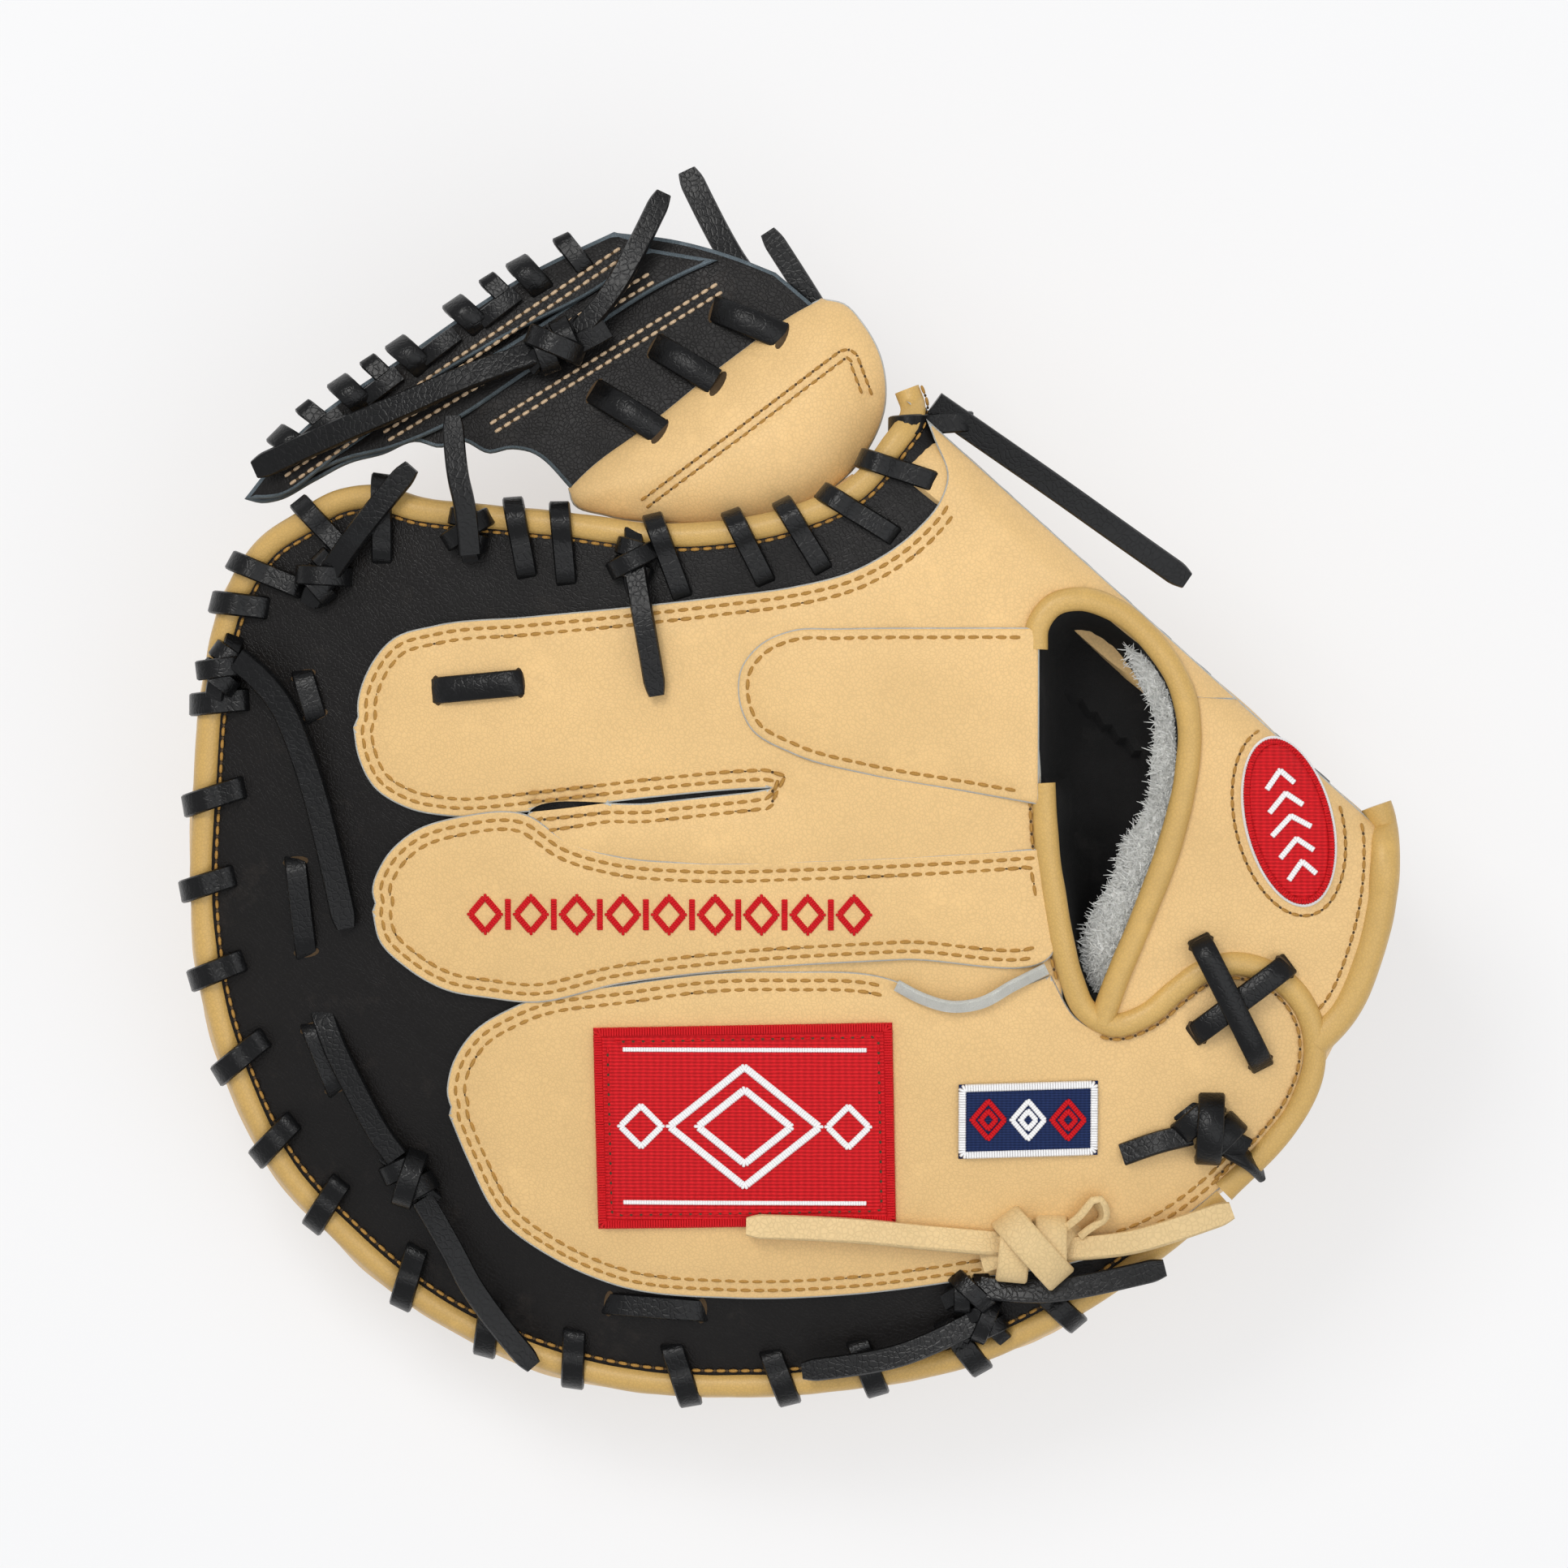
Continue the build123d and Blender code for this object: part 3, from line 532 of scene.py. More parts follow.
def group(name, inputs, outputs):
    """An empty node group with number sockets, and its two end nodes."""
    tree = bpy.data.node_groups.new(name, "ShaderNodeTree")
    for label, value in inputs:
        tree.interface.new_socket(label, in_out="INPUT", socket_type="NodeSocketFloat").default_value = value
    for label in outputs:
        tree.interface.new_socket(label, in_out="OUTPUT", socket_type="NodeSocketFloat")
    return tree, tree.nodes.new("NodeGroupInput"), tree.nodes.new("NodeGroupOutput")


def remap(tree, value, low, high, to_low=0.0, to_high=1.0):
    inputs = {"Value": value, "From Min": low, "From Max": high, "To Min": to_low, "To Max": to_high}
    return node(tree, "ShaderNodeMapRange", inputs, clamp=True).outputs[0]


def maths(tree, operation, a, b):
    return node(tree, "ShaderNodeMath", {0: a, 1: b}, operation=operation).outputs[0]


def hide_grain():
    """Pores and fine creases of a hide, with its cloudy colour and its scuffs."""
    if "hide_grain" in bpy.data.node_groups:
        return bpy.data.node_groups["hide_grain"]
    tree, given, out = group("hide_grain", [("Pores", 900.0), ("Creases", 160.0)],
                             ["Height", "Mottle", "Scuff", "Pore"])
    place = node(tree, "ShaderNodeTexCoord").outputs["Object"]
    warp = node(tree, "ShaderNodeTexNoise", {"Vector": place, "Scale": 120.0, "Detail": 3.0})
    bent = node(tree, "ShaderNodeVectorMath", {0: warp.outputs["Color"], "Scale": 0.004},
                operation="SCALE").outputs[0]
    moved = node(tree, "ShaderNodeVectorMath", {0: place, 1: bent}, operation="ADD").outputs[0]
    cells = node(tree, "ShaderNodeTexVoronoi", {"Vector": moved, "Scale": given.outputs["Pores"]},
                 feature="DISTANCE_TO_EDGE")
    pore = remap(tree, cells.outputs["Distance"], 0.0, 0.16)
    crease = node(tree, "ShaderNodeTexNoise",
                  {"Vector": moved, "Scale": given.outputs["Creases"], "Detail": 6.0, "Roughness": 0.62})
    height = maths(tree, "ADD", maths(tree, "MULTIPLY", pore, 0.35), crease.outputs[0])
    mottle = node(tree, "ShaderNodeTexNoise",
                  {"Vector": place, "Scale": 28.0, "Detail": 5.0, "Roughness": 0.6})
    scuff = node(tree, "ShaderNodeTexNoise",
                 {"Vector": moved, "Scale": 75.0, "Detail": 8.0, "Roughness": 0.72})
    for name, value in (("Height", height), ("Mottle", remap(tree, mottle.outputs[0], 0.32, 0.68)),
                        ("Scuff", remap(tree, scuff.outputs[0], 0.56, 0.74)), ("Pore", pore)):
        tree.links.new(value, out.inputs[name])
    return tree


def thread_weave():
    """Threads laid side by side, with a strand's height and its soft variation."""
    if "thread_weave" in bpy.data.node_groups:
        return bpy.data.node_groups["thread_weave"]
    tree, given, out = group("thread_weave", [("Pitch", 700.0), ("Cross", 350.0)], ["Height", "Strand"])
    place = node(tree, "ShaderNodeTexCoord").outputs["Object"]
    rows = node(tree, "ShaderNodeTexWave",
                {"Vector": place, "Scale": given.outputs["Pitch"], "Distortion": 0.8},
                wave_type="BANDS", bands_direction="Y")
    cross = node(tree, "ShaderNodeTexWave",
                 {"Vector": place, "Scale": given.outputs["Cross"], "Distortion": 1.2},
                 wave_type="BANDS", bands_direction="X")
    fuzz = node(tree, "ShaderNodeTexNoise", {"Vector": place, "Scale": 1800.0, "Detail": 2.0})
    height = maths(tree, "ADD", maths(tree, "MULTIPLY", cross.outputs["Fac"], 0.45), rows.outputs["Fac"])
    strand = maths(tree, "MULTIPLY", height, remap(tree, fuzz.outputs[0], 0.3, 0.7, 0.6, 1.0))
    tree.links.new(height, out.inputs["Height"])
    tree.links.new(strand, out.inputs["Strand"])
    return tree


def bare_material(name):
    material = bpy.data.materials.new(name)
    material.use_nodes = True
    tree = material.node_tree
    return material, tree, tree.nodes["Principled BSDF"]


def mixed(tree, factor, first, second):
    mix = node(tree, "ShaderNodeMix", data_type="RGBA")
    tree.links.new(factor, mix.inputs["Factor"])
    for slot, value in ((6, first), (7, second)):
        if isinstance(value, bpy.types.NodeSocket):
            tree.links.new(value, mix.inputs[slot])
        else:
            mix.inputs[slot].default_value = (*value[:3], 1.0)
    return mix.outputs[2]


def shade(colour, times):
    return tuple(min(1.0, part * times) for part in colour[:3])


def leather(name, colour, dark, worn, pores, creases, rough, bump, coat=0.0, sheen=0.0, gloss=0.42):
    """A hide: cloudy colour, darker pores, lighter scuffs and a pored, creased surface."""
    if name in bpy.data.materials:
        return bpy.data.materials[name]
    material, tree, shader = bare_material(name)
    grain = node(tree, "ShaderNodeGroup", node_tree=hide_grain())
    grain.inputs["Pores"].default_value = pores
    grain.inputs["Creases"].default_value = creases
    cloudy = mixed(tree, grain.outputs["Mottle"], colour, dark)
    pored = mixed(tree, remap(tree, grain.outputs["Pore"], 0.0, 1.0, 0.35, 0.0), cloudy, shade(dark, 0.72))
    scuffed = mixed(tree, remap(tree, grain.outputs["Scuff"], 0.0, 1.0, 0.0, 0.55), pored, worn)
    tree.links.new(scuffed, shader.inputs["Base Color"])
    tree.links.new(remap(tree, grain.outputs["Mottle"], 0, 1, rough - 0.05, rough + 0.1),
                   shader.inputs["Roughness"])
    rise = node(tree, "ShaderNodeBump",
                {"Strength": bump, "Distance": 0.0004, "Height": grain.outputs["Height"]})
    tree.links.new(rise.outputs[0], shader.inputs["Normal"])
    shader.inputs["Coat Weight"].default_value = coat
    shader.inputs["Coat Roughness"].default_value = 0.28
    shader.inputs["Sheen Weight"].default_value = sheen
    shader.inputs["Specular IOR Level"].default_value = gloss
    return material


def cloth(name, colour, dark, pitch, cross, rough=0.75, bump=0.5, sheen=0.0):
    """Threads of one colour, lit along their tops and darker between them."""
    if name in bpy.data.materials:
        return bpy.data.materials[name]
    material, tree, shader = bare_material(name)
    weave = node(tree, "ShaderNodeGroup", node_tree=thread_weave())
    weave.inputs["Pitch"].default_value = pitch
    weave.inputs["Cross"].default_value = cross
    tree.links.new(mixed(tree, remap(tree, weave.outputs["Strand"], 0.1, 1.1), dark, colour),
                   shader.inputs["Base Color"])
    tree.links.new(remap(tree, weave.outputs["Strand"], 0, 1.4, rough + 0.12, rough - 0.1),
                   shader.inputs["Roughness"])
    rise = node(tree, "ShaderNodeBump",
                {"Strength": bump, "Distance": 0.0003, "Height": weave.outputs["Height"]})
    tree.links.new(rise.outputs[0], shader.inputs["Normal"])
    shader.inputs["Sheen Weight"].default_value = sheen
    shader.inputs["Specular IOR Level"].default_value = 0.15
    return material


def tints():
    return bpy.context.scene.mitt


def tan_hide():
    c = tints().hide
    return leather("tan_hide", c, shade(c, 0.9), shade(c, 1.1), 1050, 190, 0.5, 0.28, sheen=0.05)


def binding_hide():
    c = tints().binding
    return leather("binding_hide", c, shade(c, 0.86), shade(c, 1.16), 1200, 240, 0.42, 0.25, coat=0.12)


def black_hide():
    c = tints().black
    return leather("black_hide", c, shade(c, 0.6), (0.028, 0.022, 0.018), 950, 170, 0.42, 0.4, gloss=0.24)


def black_rawhide():
    c = tints().lace
    return leather("black_rawhide", c, shade(c, 0.5), (0.016, 0.017, 0.018), 700, 320, 0.27, 0.3, gloss=0.24)


def tan_rawhide():
    c = tints().tan_lace
    return leather("tan_rawhide", c, shade(c, 0.85), shade(c, 1.12), 800, 300, 0.55, 0.45)


def raw_edge():
    c = tints().raw_edge
    return leather("raw_edge", c, shade(c, 0.72), shade(c, 1.25), 2600, 900, 0.92, 0.9, sheen=0.3)


def black_edge():
    return leather("black_edge", (0.16, 0.2, 0.23), (0.07, 0.09, 0.1), (0.3, 0.35, 0.38), 2600, 900, 0.92,
                   0.9)


# Near-black painted shade for the inside of the hand opening and the thumb stall's mouth
def lining_suede():
    return leather("lining_suede", (0.012, 0.011, 0.011), (0.006, 0.006, 0.006), (0.03, 0.028, 0.026), 2200,
                   700, 0.95, 0.8)


def soft_lining():
    return leather("soft_lining", (0.5, 0.36, 0.21), (0.38, 0.26, 0.15), (0.6, 0.46, 0.3), 1800, 400, 0.85,
                   0.6, sheen=0.25)


def wool():
    c = tints().wool
    return leather("wool", c, shade(c, 0.94), shade(c, 1.05), 3200, 600, 0.96, 0.35, sheen=0.2, gloss=0.1)


def felt():
    return leather("felt", (0.42, 0.4, 0.37), (0.28, 0.27, 0.25), (0.55, 0.53, 0.5), 3000, 500, 0.96, 0.9,
                   sheen=0.4)


def thread():
    c = tints().thread
    return cloth("thread", c, shade(c, 0.7), 1500, 900, 0.6)


def web_thread():
    c = tints().web_thread
    return cloth("web_thread", c, shade(c, 0.6), 1500, 900, 0.6)


# Dark brown painted shade for the needle holes and lace slits
def needle_hole():
    return leather("needle_hole", (0.09, 0.05, 0.02), (0.05, 0.03, 0.012), (0.14, 0.09, 0.04), 2000, 800,
                   0.9, 0.3)


def red_cloth():
    c = tints().patch_red
    return cloth("red_cloth", c, shade(c, 0.6), 360, 190, 0.7, 0.8)


def red_thread():
    c = tints().patch_red
    return cloth("red_thread", shade(c, 1.1), shade(c, 0.7), 1600, 1000, 0.5)


def white_thread():
    return cloth("white_thread", (0.95, 0.94, 0.93), (0.78, 0.77, 0.77), 1600, 1000, 0.5, 0.3)


def navy_cloth():
    c = tints().navy
    return cloth("navy_cloth", c, shade(c, 0.5), 500, 300, 0.65)


FINISH = {made.__name__: made for made in (
    tan_hide, binding_hide, black_hide, black_rawhide, tan_rawhide, raw_edge, black_edge, lining_suede,
    soft_lining, wool, felt, thread, web_thread, needle_hole, red_cloth, red_thread, white_thread,
    navy_cloth)}


# ------------------------------------------------------------------ settings
def colour_setting(name, about, value):
    return FloatVectorProperty(name=name, description=about, subtype="COLOR", size=3, min=0, max=1,
                               default=value)


class MittSettings(bpy.types.PropertyGroup):
    """Colours and sizes of the mitt and its studio."""

    hide: colour_setting("Tan hide", "Colour of the tan leather", (0.775, 0.51, 0.218))
    binding: colour_setting("Binding", "Colour of the rolled edges", (0.62, 0.388, 0.115))
    black: colour_setting("Black hide", "Colour of the back shell and web", (0.0075, 0.0062, 0.0056))
    lace: colour_setting("Black lace", "Colour of the rawhide lace", (0.0062, 0.0062, 0.0066))
    tan_lace: colour_setting("Tan lace", "Colour of the tan lace at the heel", (0.76, 0.55, 0.27))
    raw_edge: colour_setting("Raw edge", "Colour of cut leather edges", (0.72, 0.72, 0.66))
    thread: colour_setting("Thread", "Colour of the stitching on tan leather", (0.56, 0.3, 0.075))
    web_thread: colour_setting("Web thread", "Colour of the stitching on the web", (0.85, 0.62, 0.4))
    wool: colour_setting("Wool", "Colour of the strap's wool", (0.93, 0.93, 0.9))
    patch_red: colour_setting("Patch red", "Colour of the patches and embroidery", (0.74, 0.014, 0.02))
    navy: colour_setting("Patch navy", "Colour of the small patch", (0.014, 0.03, 0.11))
    stitch_pitch: FloatProperty(name="Stitch pitch",
                                description="From one stitch to the next, in millimetres",
                                default=3.3, min=1.5, max=6)
    camera_height: FloatProperty(name="Camera height", description="From the floor to the camera",
                                 default=3.09, min=0.5, max=10, unit="LENGTH")
    view_width: FloatProperty(name="View width", description="Width of the picture at the top of the mitt",
                              default=0.3767, min=0.1, max=2, unit="LENGTH")


# ------------------------------------------------------------------ outlines
RIM_LINE = [
    (29.5, 102.5), (31, 98), (25.5, 88), (18, 79), (1, 71), (-15, 68), (-32, 67.5), (-52, 70), (-71, 72),
    (-88, 74), (-99, 77), (-107, 76), (-116, 71), (-124, 66), (-133.5, 51), (-138.5, 29), (-140.5, 5),
    (-141.5, -18), (-139.5, -40), (-133.5, -62), (-122, -85.5), (-106, -103), (-85.5, -119.5), (-63, -130.5),
    (-35.5, -137.5), (-13, -138.5), (16, -136.5), (45, -130.5), (70, -118.5), (90, -104.5), (105, -91),
]
FINGER_PLAN = [
    [(-123.5, 68.5), (-135.5, 52), (-140.5, 29), (-142.3, 5), (-143.3, -18), (-141.4, -40), (-135.4, -63),
     (-123.5, -86.5), (-107.5, -104.5), (-86.7, -121.3), (-64, -132.3), (-36, -139.3), (-13, -140.3),
     (16, -138.3), (46, -132.2), (70.6, -120.3), (99.5, -95.3), (123.4, -70.4), (134.3, -47.7)],
    [(141.8, -24.4)],
    [(22, 83.5), (1, 71.2), (-15, 68.3), (-32, 68.3), (-52, 71.2), (-71, 72.3), (-88, 75.2), (-99, 78.2),
     (-107, 77.2), (-116, 72.5)],
]
SHELL = [
    [(-123, 67), (-132.5, 50), (-137.5, 29), (-139.5, 5), (-140.5, -18), (-138.5, -40), (-132.5, -62),
     (-121, -85), (-105.5, -102), (-85, -118.5), (-62.5, -129.5), (-35.5, -136.5), (-13, -137.5),
     (16, -135.5), (45, -129.5), (71, -117), (96, -98)],
    [(70, -95), (57, -50)],
    [(57, 45), (44, 78), (38, 92)],
    [(32, 101)],
    [(28.5, 97), (24, 88), (17, 80), (1, 72.5), (-15, 69), (-32, 68.5), (-52, 71), (-71, 73), (-88, 75),
     (-99, 77.5), (-107, 76.5), (-116, 71.5)],
]
HAND_BACK = [
    [(33, 98), (36, 90), (39, 81), (37, 75), (32, 69), (17, 59), (2, 55), (-13, 53), (-40, 50), (-62, 48),
     (-84, 46), (-94, 43), (-101, 34), (-103, 26.5)],
    [(-102.9, 24)],
    [(-104, 21.5), (-103, 15), (-99, 7), (-91, 2), (-81, 0), (-62, 1), (-32, 4.5), (-8, 6.6)],
    [(-3, 6.8)],
    [(-8, 5.9), (-32, 3.3), (-62, -0.4)],
    [(-58, -14), (-20, -16), (61, -13)],
    [(61.5, 8), (61.2, 42), (63.5, 49), (71, 51.6), (79, 49), (88, 42), (95.5, 29.5)],
    [tuple(ridge(140, -3.3))],
    [tuple(ridge(88, -3.3))],
    [tuple(ridge(33, -3.3))],
]
MIDDLE = [
    [(63, -7.5), (40, -9), (7, -10.5), (-23, -11), (-40, -9.5), (-52, -6), (-62, 0.5), (-78, 0), (-90, -4),
     (-97, -11), (-99.5, -19)],
    [(-98.9, -21)],
    [(-99.6, -23), (-98, -30), (-91, -37), (-82, -42), (-71, -44), (-61, -45), (-40, -40.5), (-17, -37.5),
     (28, -34.5), (64.5, -33)],
]
LITTLE = [
    [(64, -38), (50, -43), (39, -46), (27, -39.5), (0, -37.2), (-17, -37.6), (-37, -40.2), (-64, -45.4),
     (-76, -53), (-81, -62), (-81.5, -68.5)],
    [(-80.8, -70.5)],
    [(-81.3, -72.5), (-77, -83), (-69, -98), (-57, -107), (-41, -114), (-13, -117), (16, -116), (46, -112),
     (72, -107.5), (90, -101), (104, -91), (115, -79), (122, -69), (125, -60), (125, -51), (122, -44),
     (116, -39), (108, -37), (101, -38.5), (94, -43.5), (87, -49.5), (79, -52), (71, -49)],
]
UNDERLAP = [[(-24, -30), (20, -29), (66, -28)], [(67, -44), (50, -49), (20, -47), (-20, -46)]]
PAD = [[(61, 45.2), (40, 45.2), (13, 45), (2, 44.6), (-6, 41), (-10.5, 35), (-11, 29), (-8, 21), (2, 15),
        (20, 10), (43, 6)],
       [(61, 2.8)]]
OPENING = [
    [(62.4, 41), (64.5, 45.5), (68, 48.2), (74, 48.6), (80, 45.6), (87, 38), (92.4, 28), (93.6, 18), (93, 8),
     (89.5, -7), (83, -25.5), (76.3, -43)],
    [(74, -43), (70, -31), (67.4, -18), (65.6, -7), (64.8, 7)],
    [(62.6, 8)],
]
ARCH = [(60.2, 40), (60.6, 45.5), (64, 50.3), (71, 52), (79.2, 49.4), (88, 42), (95.4, 29.7), (97, 20.5),
        (96.4, 11), (92.7, -5.7), (86, -24), (79.5, -40), (76, -50)]
FRONT_STRIP = [(62, 8), (62.9, -6.6), (64.6, -18.3), (66.7, -30), (69, -39), (72.5, -46.5), (79.5, -50),
               (87, -47.5), (94, -41.7), (101, -36.8), (108, -35.2), (116, -37.2), (122.5, -42), (127, -50),
               (127.5, -60), (124, -70), (117, -79.5), (106, -90.5)]
STRAP = [
    [(98, 29), (98.2, 20.5), (97.5, 11), (93.8, -5.7), (87, -24), (80.5, -40)],
    [(77, -49)],
    [(87, -47), (94, -41.5), (101, -37), (112, -36.5), (122, -42), (126.5, -50), (128.3, -56.5)],
    [(135, -48), (141, -34), (144.4, -18), (145, -6)],
    [tuple(ridge(188, -3.3))],
    [tuple(ridge(139.5, -3.3))],
]
HEEL_LINE = [(142.4, 2.6), (143.6, -1), (144.2, -9), (143.6, -19), (140.5, -33), (134.5, -47),
             (127.6, -54.5)]
WOOL = [
    [(82, 41), (84.5, 34), (89, 24), (88.5, 13.5), (87, 2), (81, -8), (79.5, -14), (73.5, -25), (71.5, -34)],
    [(75, -46)],
    [(82, -38), (88, -22), (94.5, -5), (97.8, 12), (97.5, 24), (92, 35)],
]
RED_PATCH = [(-46, -51), (-45, -100), (27, -98.5), (26, -49.5)]
SMALL_PATCH = [(42, -64.5), (42, -82.5), (75.5, -81.5), (75.5, -63.5)]
OVAL_CENTRE, OVAL_HALF, OVAL_TURN = (121.0, -1.2), (9.3, 19.5), math.radians(14)

WEB_PLAN = [
    [(-131, 77), (-127, 76), (-123, 76.5), (-114, 81), (-105, 85.5), (-97, 87.5), (-89, 90.5), (-83, 89),
     (-78, 90.5), (-71, 87.5), (-66, 88.5), (-62, 88)],
    [(-50, 77.5)],
    [(8.5, 122)],
    [(-2, 131), (-12, 135), (-26, 139)],
    [(-41, 141), (-61, 131.5), (-90, 112.5), (-119, 91.5)],
]
WEB_FIRST = [[(-131, 77), (-122, 77.5), (-112, 84), (-105, 90), (-93, 100), (-70, 114), (-37, 133.5)],
             [(-33, 138.5)], [(-41, 141), (-61, 131.5), (-90, 112.5), (-119, 91.5)]]
WEB_SECOND = [[(-120, 80), (-105, 86.5), (-96, 88.5), (-84, 93), (-60, 108), (-24, 130.5)], [(-16, 134)],
              [(-33, 137), (-60, 118), (-95, 97)]]
GUSSET = [
    [(-52, 79), (-48, 83), (-32.4, 94.8), (-12.9, 110.4), (5, 122.8)],
    [(9, 124.8), (14.4, 123.6), (19.5, 118.2), (23.5, 110.4), (24.5, 99), (18.5, 85.5), (4, 74.0),
     (-12.9, 70.4), (-28.5, 70.4), (-43, 72.3), (-51, 75.4)],
]
GUSSET_SEAM = [(-34, 74.8), (-10, 92.5), (14.6, 111.3), (16.4, 110.8), (20.4, 100)]

SHELL_LIFT, HIDE_LIFT, MIDDLE_LIFT, PAD_LIFT = 0.0, 2.3, 3.3, 4.4


def over(surface, lift):
    """A surface raised by an even lift."""
    return lambda x, y: surface(x, y) + lift


def surface_of(hide):
    """A hide's finished top as a surface."""
    return lambda x, y: hide.top(np.column_stack([x, y]))


def plain(surface):
    """A surface as a height over a list of places."""
    return lambda places: surface(places[:, 0], places[:, 1])


DOUBLE_SEAM = (2.2, 4.4)


def hides():
    """The leather layers of the back, from the shell up."""
    return {
        "shell": Hide(outline(*SHELL), over(hide_z, SHELL_LIFT), 2.6, ripple=0.3, seed=1),
        "hand_back": Hide(outline(*HAND_BACK), over(hide_z, HIDE_LIFT), 2.2, 0.6, puff=1.5, spread=10,
                          seams=DOUBLE_SEAM, ripple=0.45, seed=2),
        "middle": Hide(outline(*MIDDLE), over(hide_z, MIDDLE_LIFT), 3.2, 0.6, puff=1.2,
                       seams=DOUBLE_SEAM, ripple=0.25, seed=3),
        "little": Hide(outline(*LITTLE), over(hide_z, HIDE_LIFT), 2.2, 0.6, puff=1.6, spread=11,
                       seams=DOUBLE_SEAM, ripple=0.4, seed=4),
        "pad": Hide(outline(*PAD), over(hide_z, PAD_LIFT), 2.4, 0.7, puff=2.4, spread=5, seams=(2.4,),
                    ripple=0.3, seed=6),
        "strap": Hide(outline(*STRAP), over(hide_z, HIDE_LIFT), 2.6, 0.8, puff=0.6, ripple=0.35, seed=7),
    }


HIDES = hides()


# ------------------------------------------------------------------ free lace ends
def on(surface, *points):
    """Places given in plan with their height off a surface, in metres."""
    return [(x * MM, y * MM, (float(surface(x, y)) + lift) * MM) for x, y, lift in points]


# name, which also names the node it replaces, body, route, width and finish (1 for tan lace)
TAILS = [
    ("rim_knot_tail", FINGER,
     on(back_z, (-132, 38, 7), (-123, 31.5, 6), (-116, 15, 4), (-110.5, -5, 3.2), (-106, -27, 2.8)), 6.2, 0),
    ("lower_shell_tail", FINGER,
     on(back_z, (-88, -93, 4), (-82, -103, 5), (-74, -119, 6.5), (-61, -134, 7.5)), 5.6, 0),
    ("web_side_tail", FINGER, on(back_z, (-75.5, 63, 7), (-76, 73, 9), (-79, 84, 8.5), (-79.5, 96, 7)), 5.2,
     0),
    ("index_tip_tail", FINGER, on(back_z, (-114, 52, 3), (-108, 61, 5.5), (-99, 73, 7.5), (-89.5, 84, 6.5)),
     5.6, 0),
    ("notch_tail", FINGER, on(back_z, (-36, 62, 4), (-34.5, 52, 7), (-32.5, 41, 7.5), (-30.5, 29, 6.5)),
     5.2, 0),
    ("web_long_tail", WEB,
     on(web_z, (-58, 112, 6), (-74, 107, 8.6), (-92, 99, 8.8), (-110, 92, 9), (-128, 84, 9)), 6.2, 0),
    ("web_short_tail", WEB, on(web_z, (-52, 114, 5.5), (-44, 122, 8), (-37, 133, 9.5), (-29, 150, 10)), 5.2,
     0),
    ("web_corner_tail", WEB, on(web_z, (4, 119, -5), (-7, 127, -5.5), (-15, 138, -4), (-23.5, 156, 0)), 6.0,
     0),
    ("crotch_tail", WEB, on(web_z, (14, 108, -5), (11, 117, -5.5), (4.5, 128, -4), (-4, 141, 0)), 5.2, 0),
    ("thumb_tail", THUMB, [(0.036, 0.099, 0.101), (0.0505, 0.089, 0.099), (0.066, 0.0785, 0.093),
                           (0.081, 0.068, 0.087), (0.097, 0.057, 0.08)], 6.0, 0),
    ("heel_upper_tail", FINGER,
     on(back_z, (47.5, -114, 4.5), (60, -115.5, 7), (76, -113, 7.5), (92, -109, 7.5)), 5.6, 0),
    ("heel_lower_tail", FINGER,
     on(back_z, (47, -122, 4), (34, -129, 7.5), (19, -133, 8.2), (4.5, -134.5, 8)), 5.6, 0),
    ("tan_left_tail", FINGER, on(back_z, (56, -103.5, 5), (37, -102, 7), (14, -99.5, 7.2), (-9, -99, 7)),
     6.0, 1),
    ("tan_right_tail", FINGER, on(back_z, (66, -104.5, 5), (80, -104, 7.5), (94, -100, 8), (108, -95, 7)),
     5.8, 1),
]


def nurbs_line(name, points):
    """The smooth line of a lace end, read from one spline through its control points."""
    data = bpy.data.curves.new(name + "_line", "CURVE")
    data.dimensions = "3D"
    data.resolution_u = 24
    spline = data.splines.new("NURBS")
    spline.points.add(len(points) - 1)
    for point, place in zip(spline.points, points):
        point.co = (*place, 1.0)
    spline.order_u = 3
    spline.use_endpoint_u = True
    holder = bpy.data.objects.new(name + "_line", data)
    mesh = bpy.data.meshes.new_from_object(holder)
    line = np.array([tuple(v.co) for v in mesh.vertices])
    bpy.data.objects.remove(holder)
    bpy.data.meshes.remove(mesh)
    bpy.data.curves.remove(data)
    return line


class MakePiece:
    """What every operator of the mitt shares."""

    bl_options = {"REGISTER", "UNDO"}


# Area lights: name, place, size, power and colour; all aim at a point over the floor's middle
LIGHTS = [("key_light", (-0.55, 0.75, 1.7), 0.7, 12.5, (1.0, 0.985, 0.96)),
          ("fill_light", (0.9, -0.5, 1.5), 1.4, 7.5, (0.95, 0.975, 1.0)),
          ("top_light", (-0.1, 0.1, 2.2), 1.6, 7.5, (1.0, 1.0, 1.0))]
LIGHT_AIM = 0.05
FLOOR_HALF = 4.0
# The view width holds this far under the crown, and the camera stands a little aside of the middle
CROWN_DROP = 0.02
CAMERA_ASIDE = 0.0078


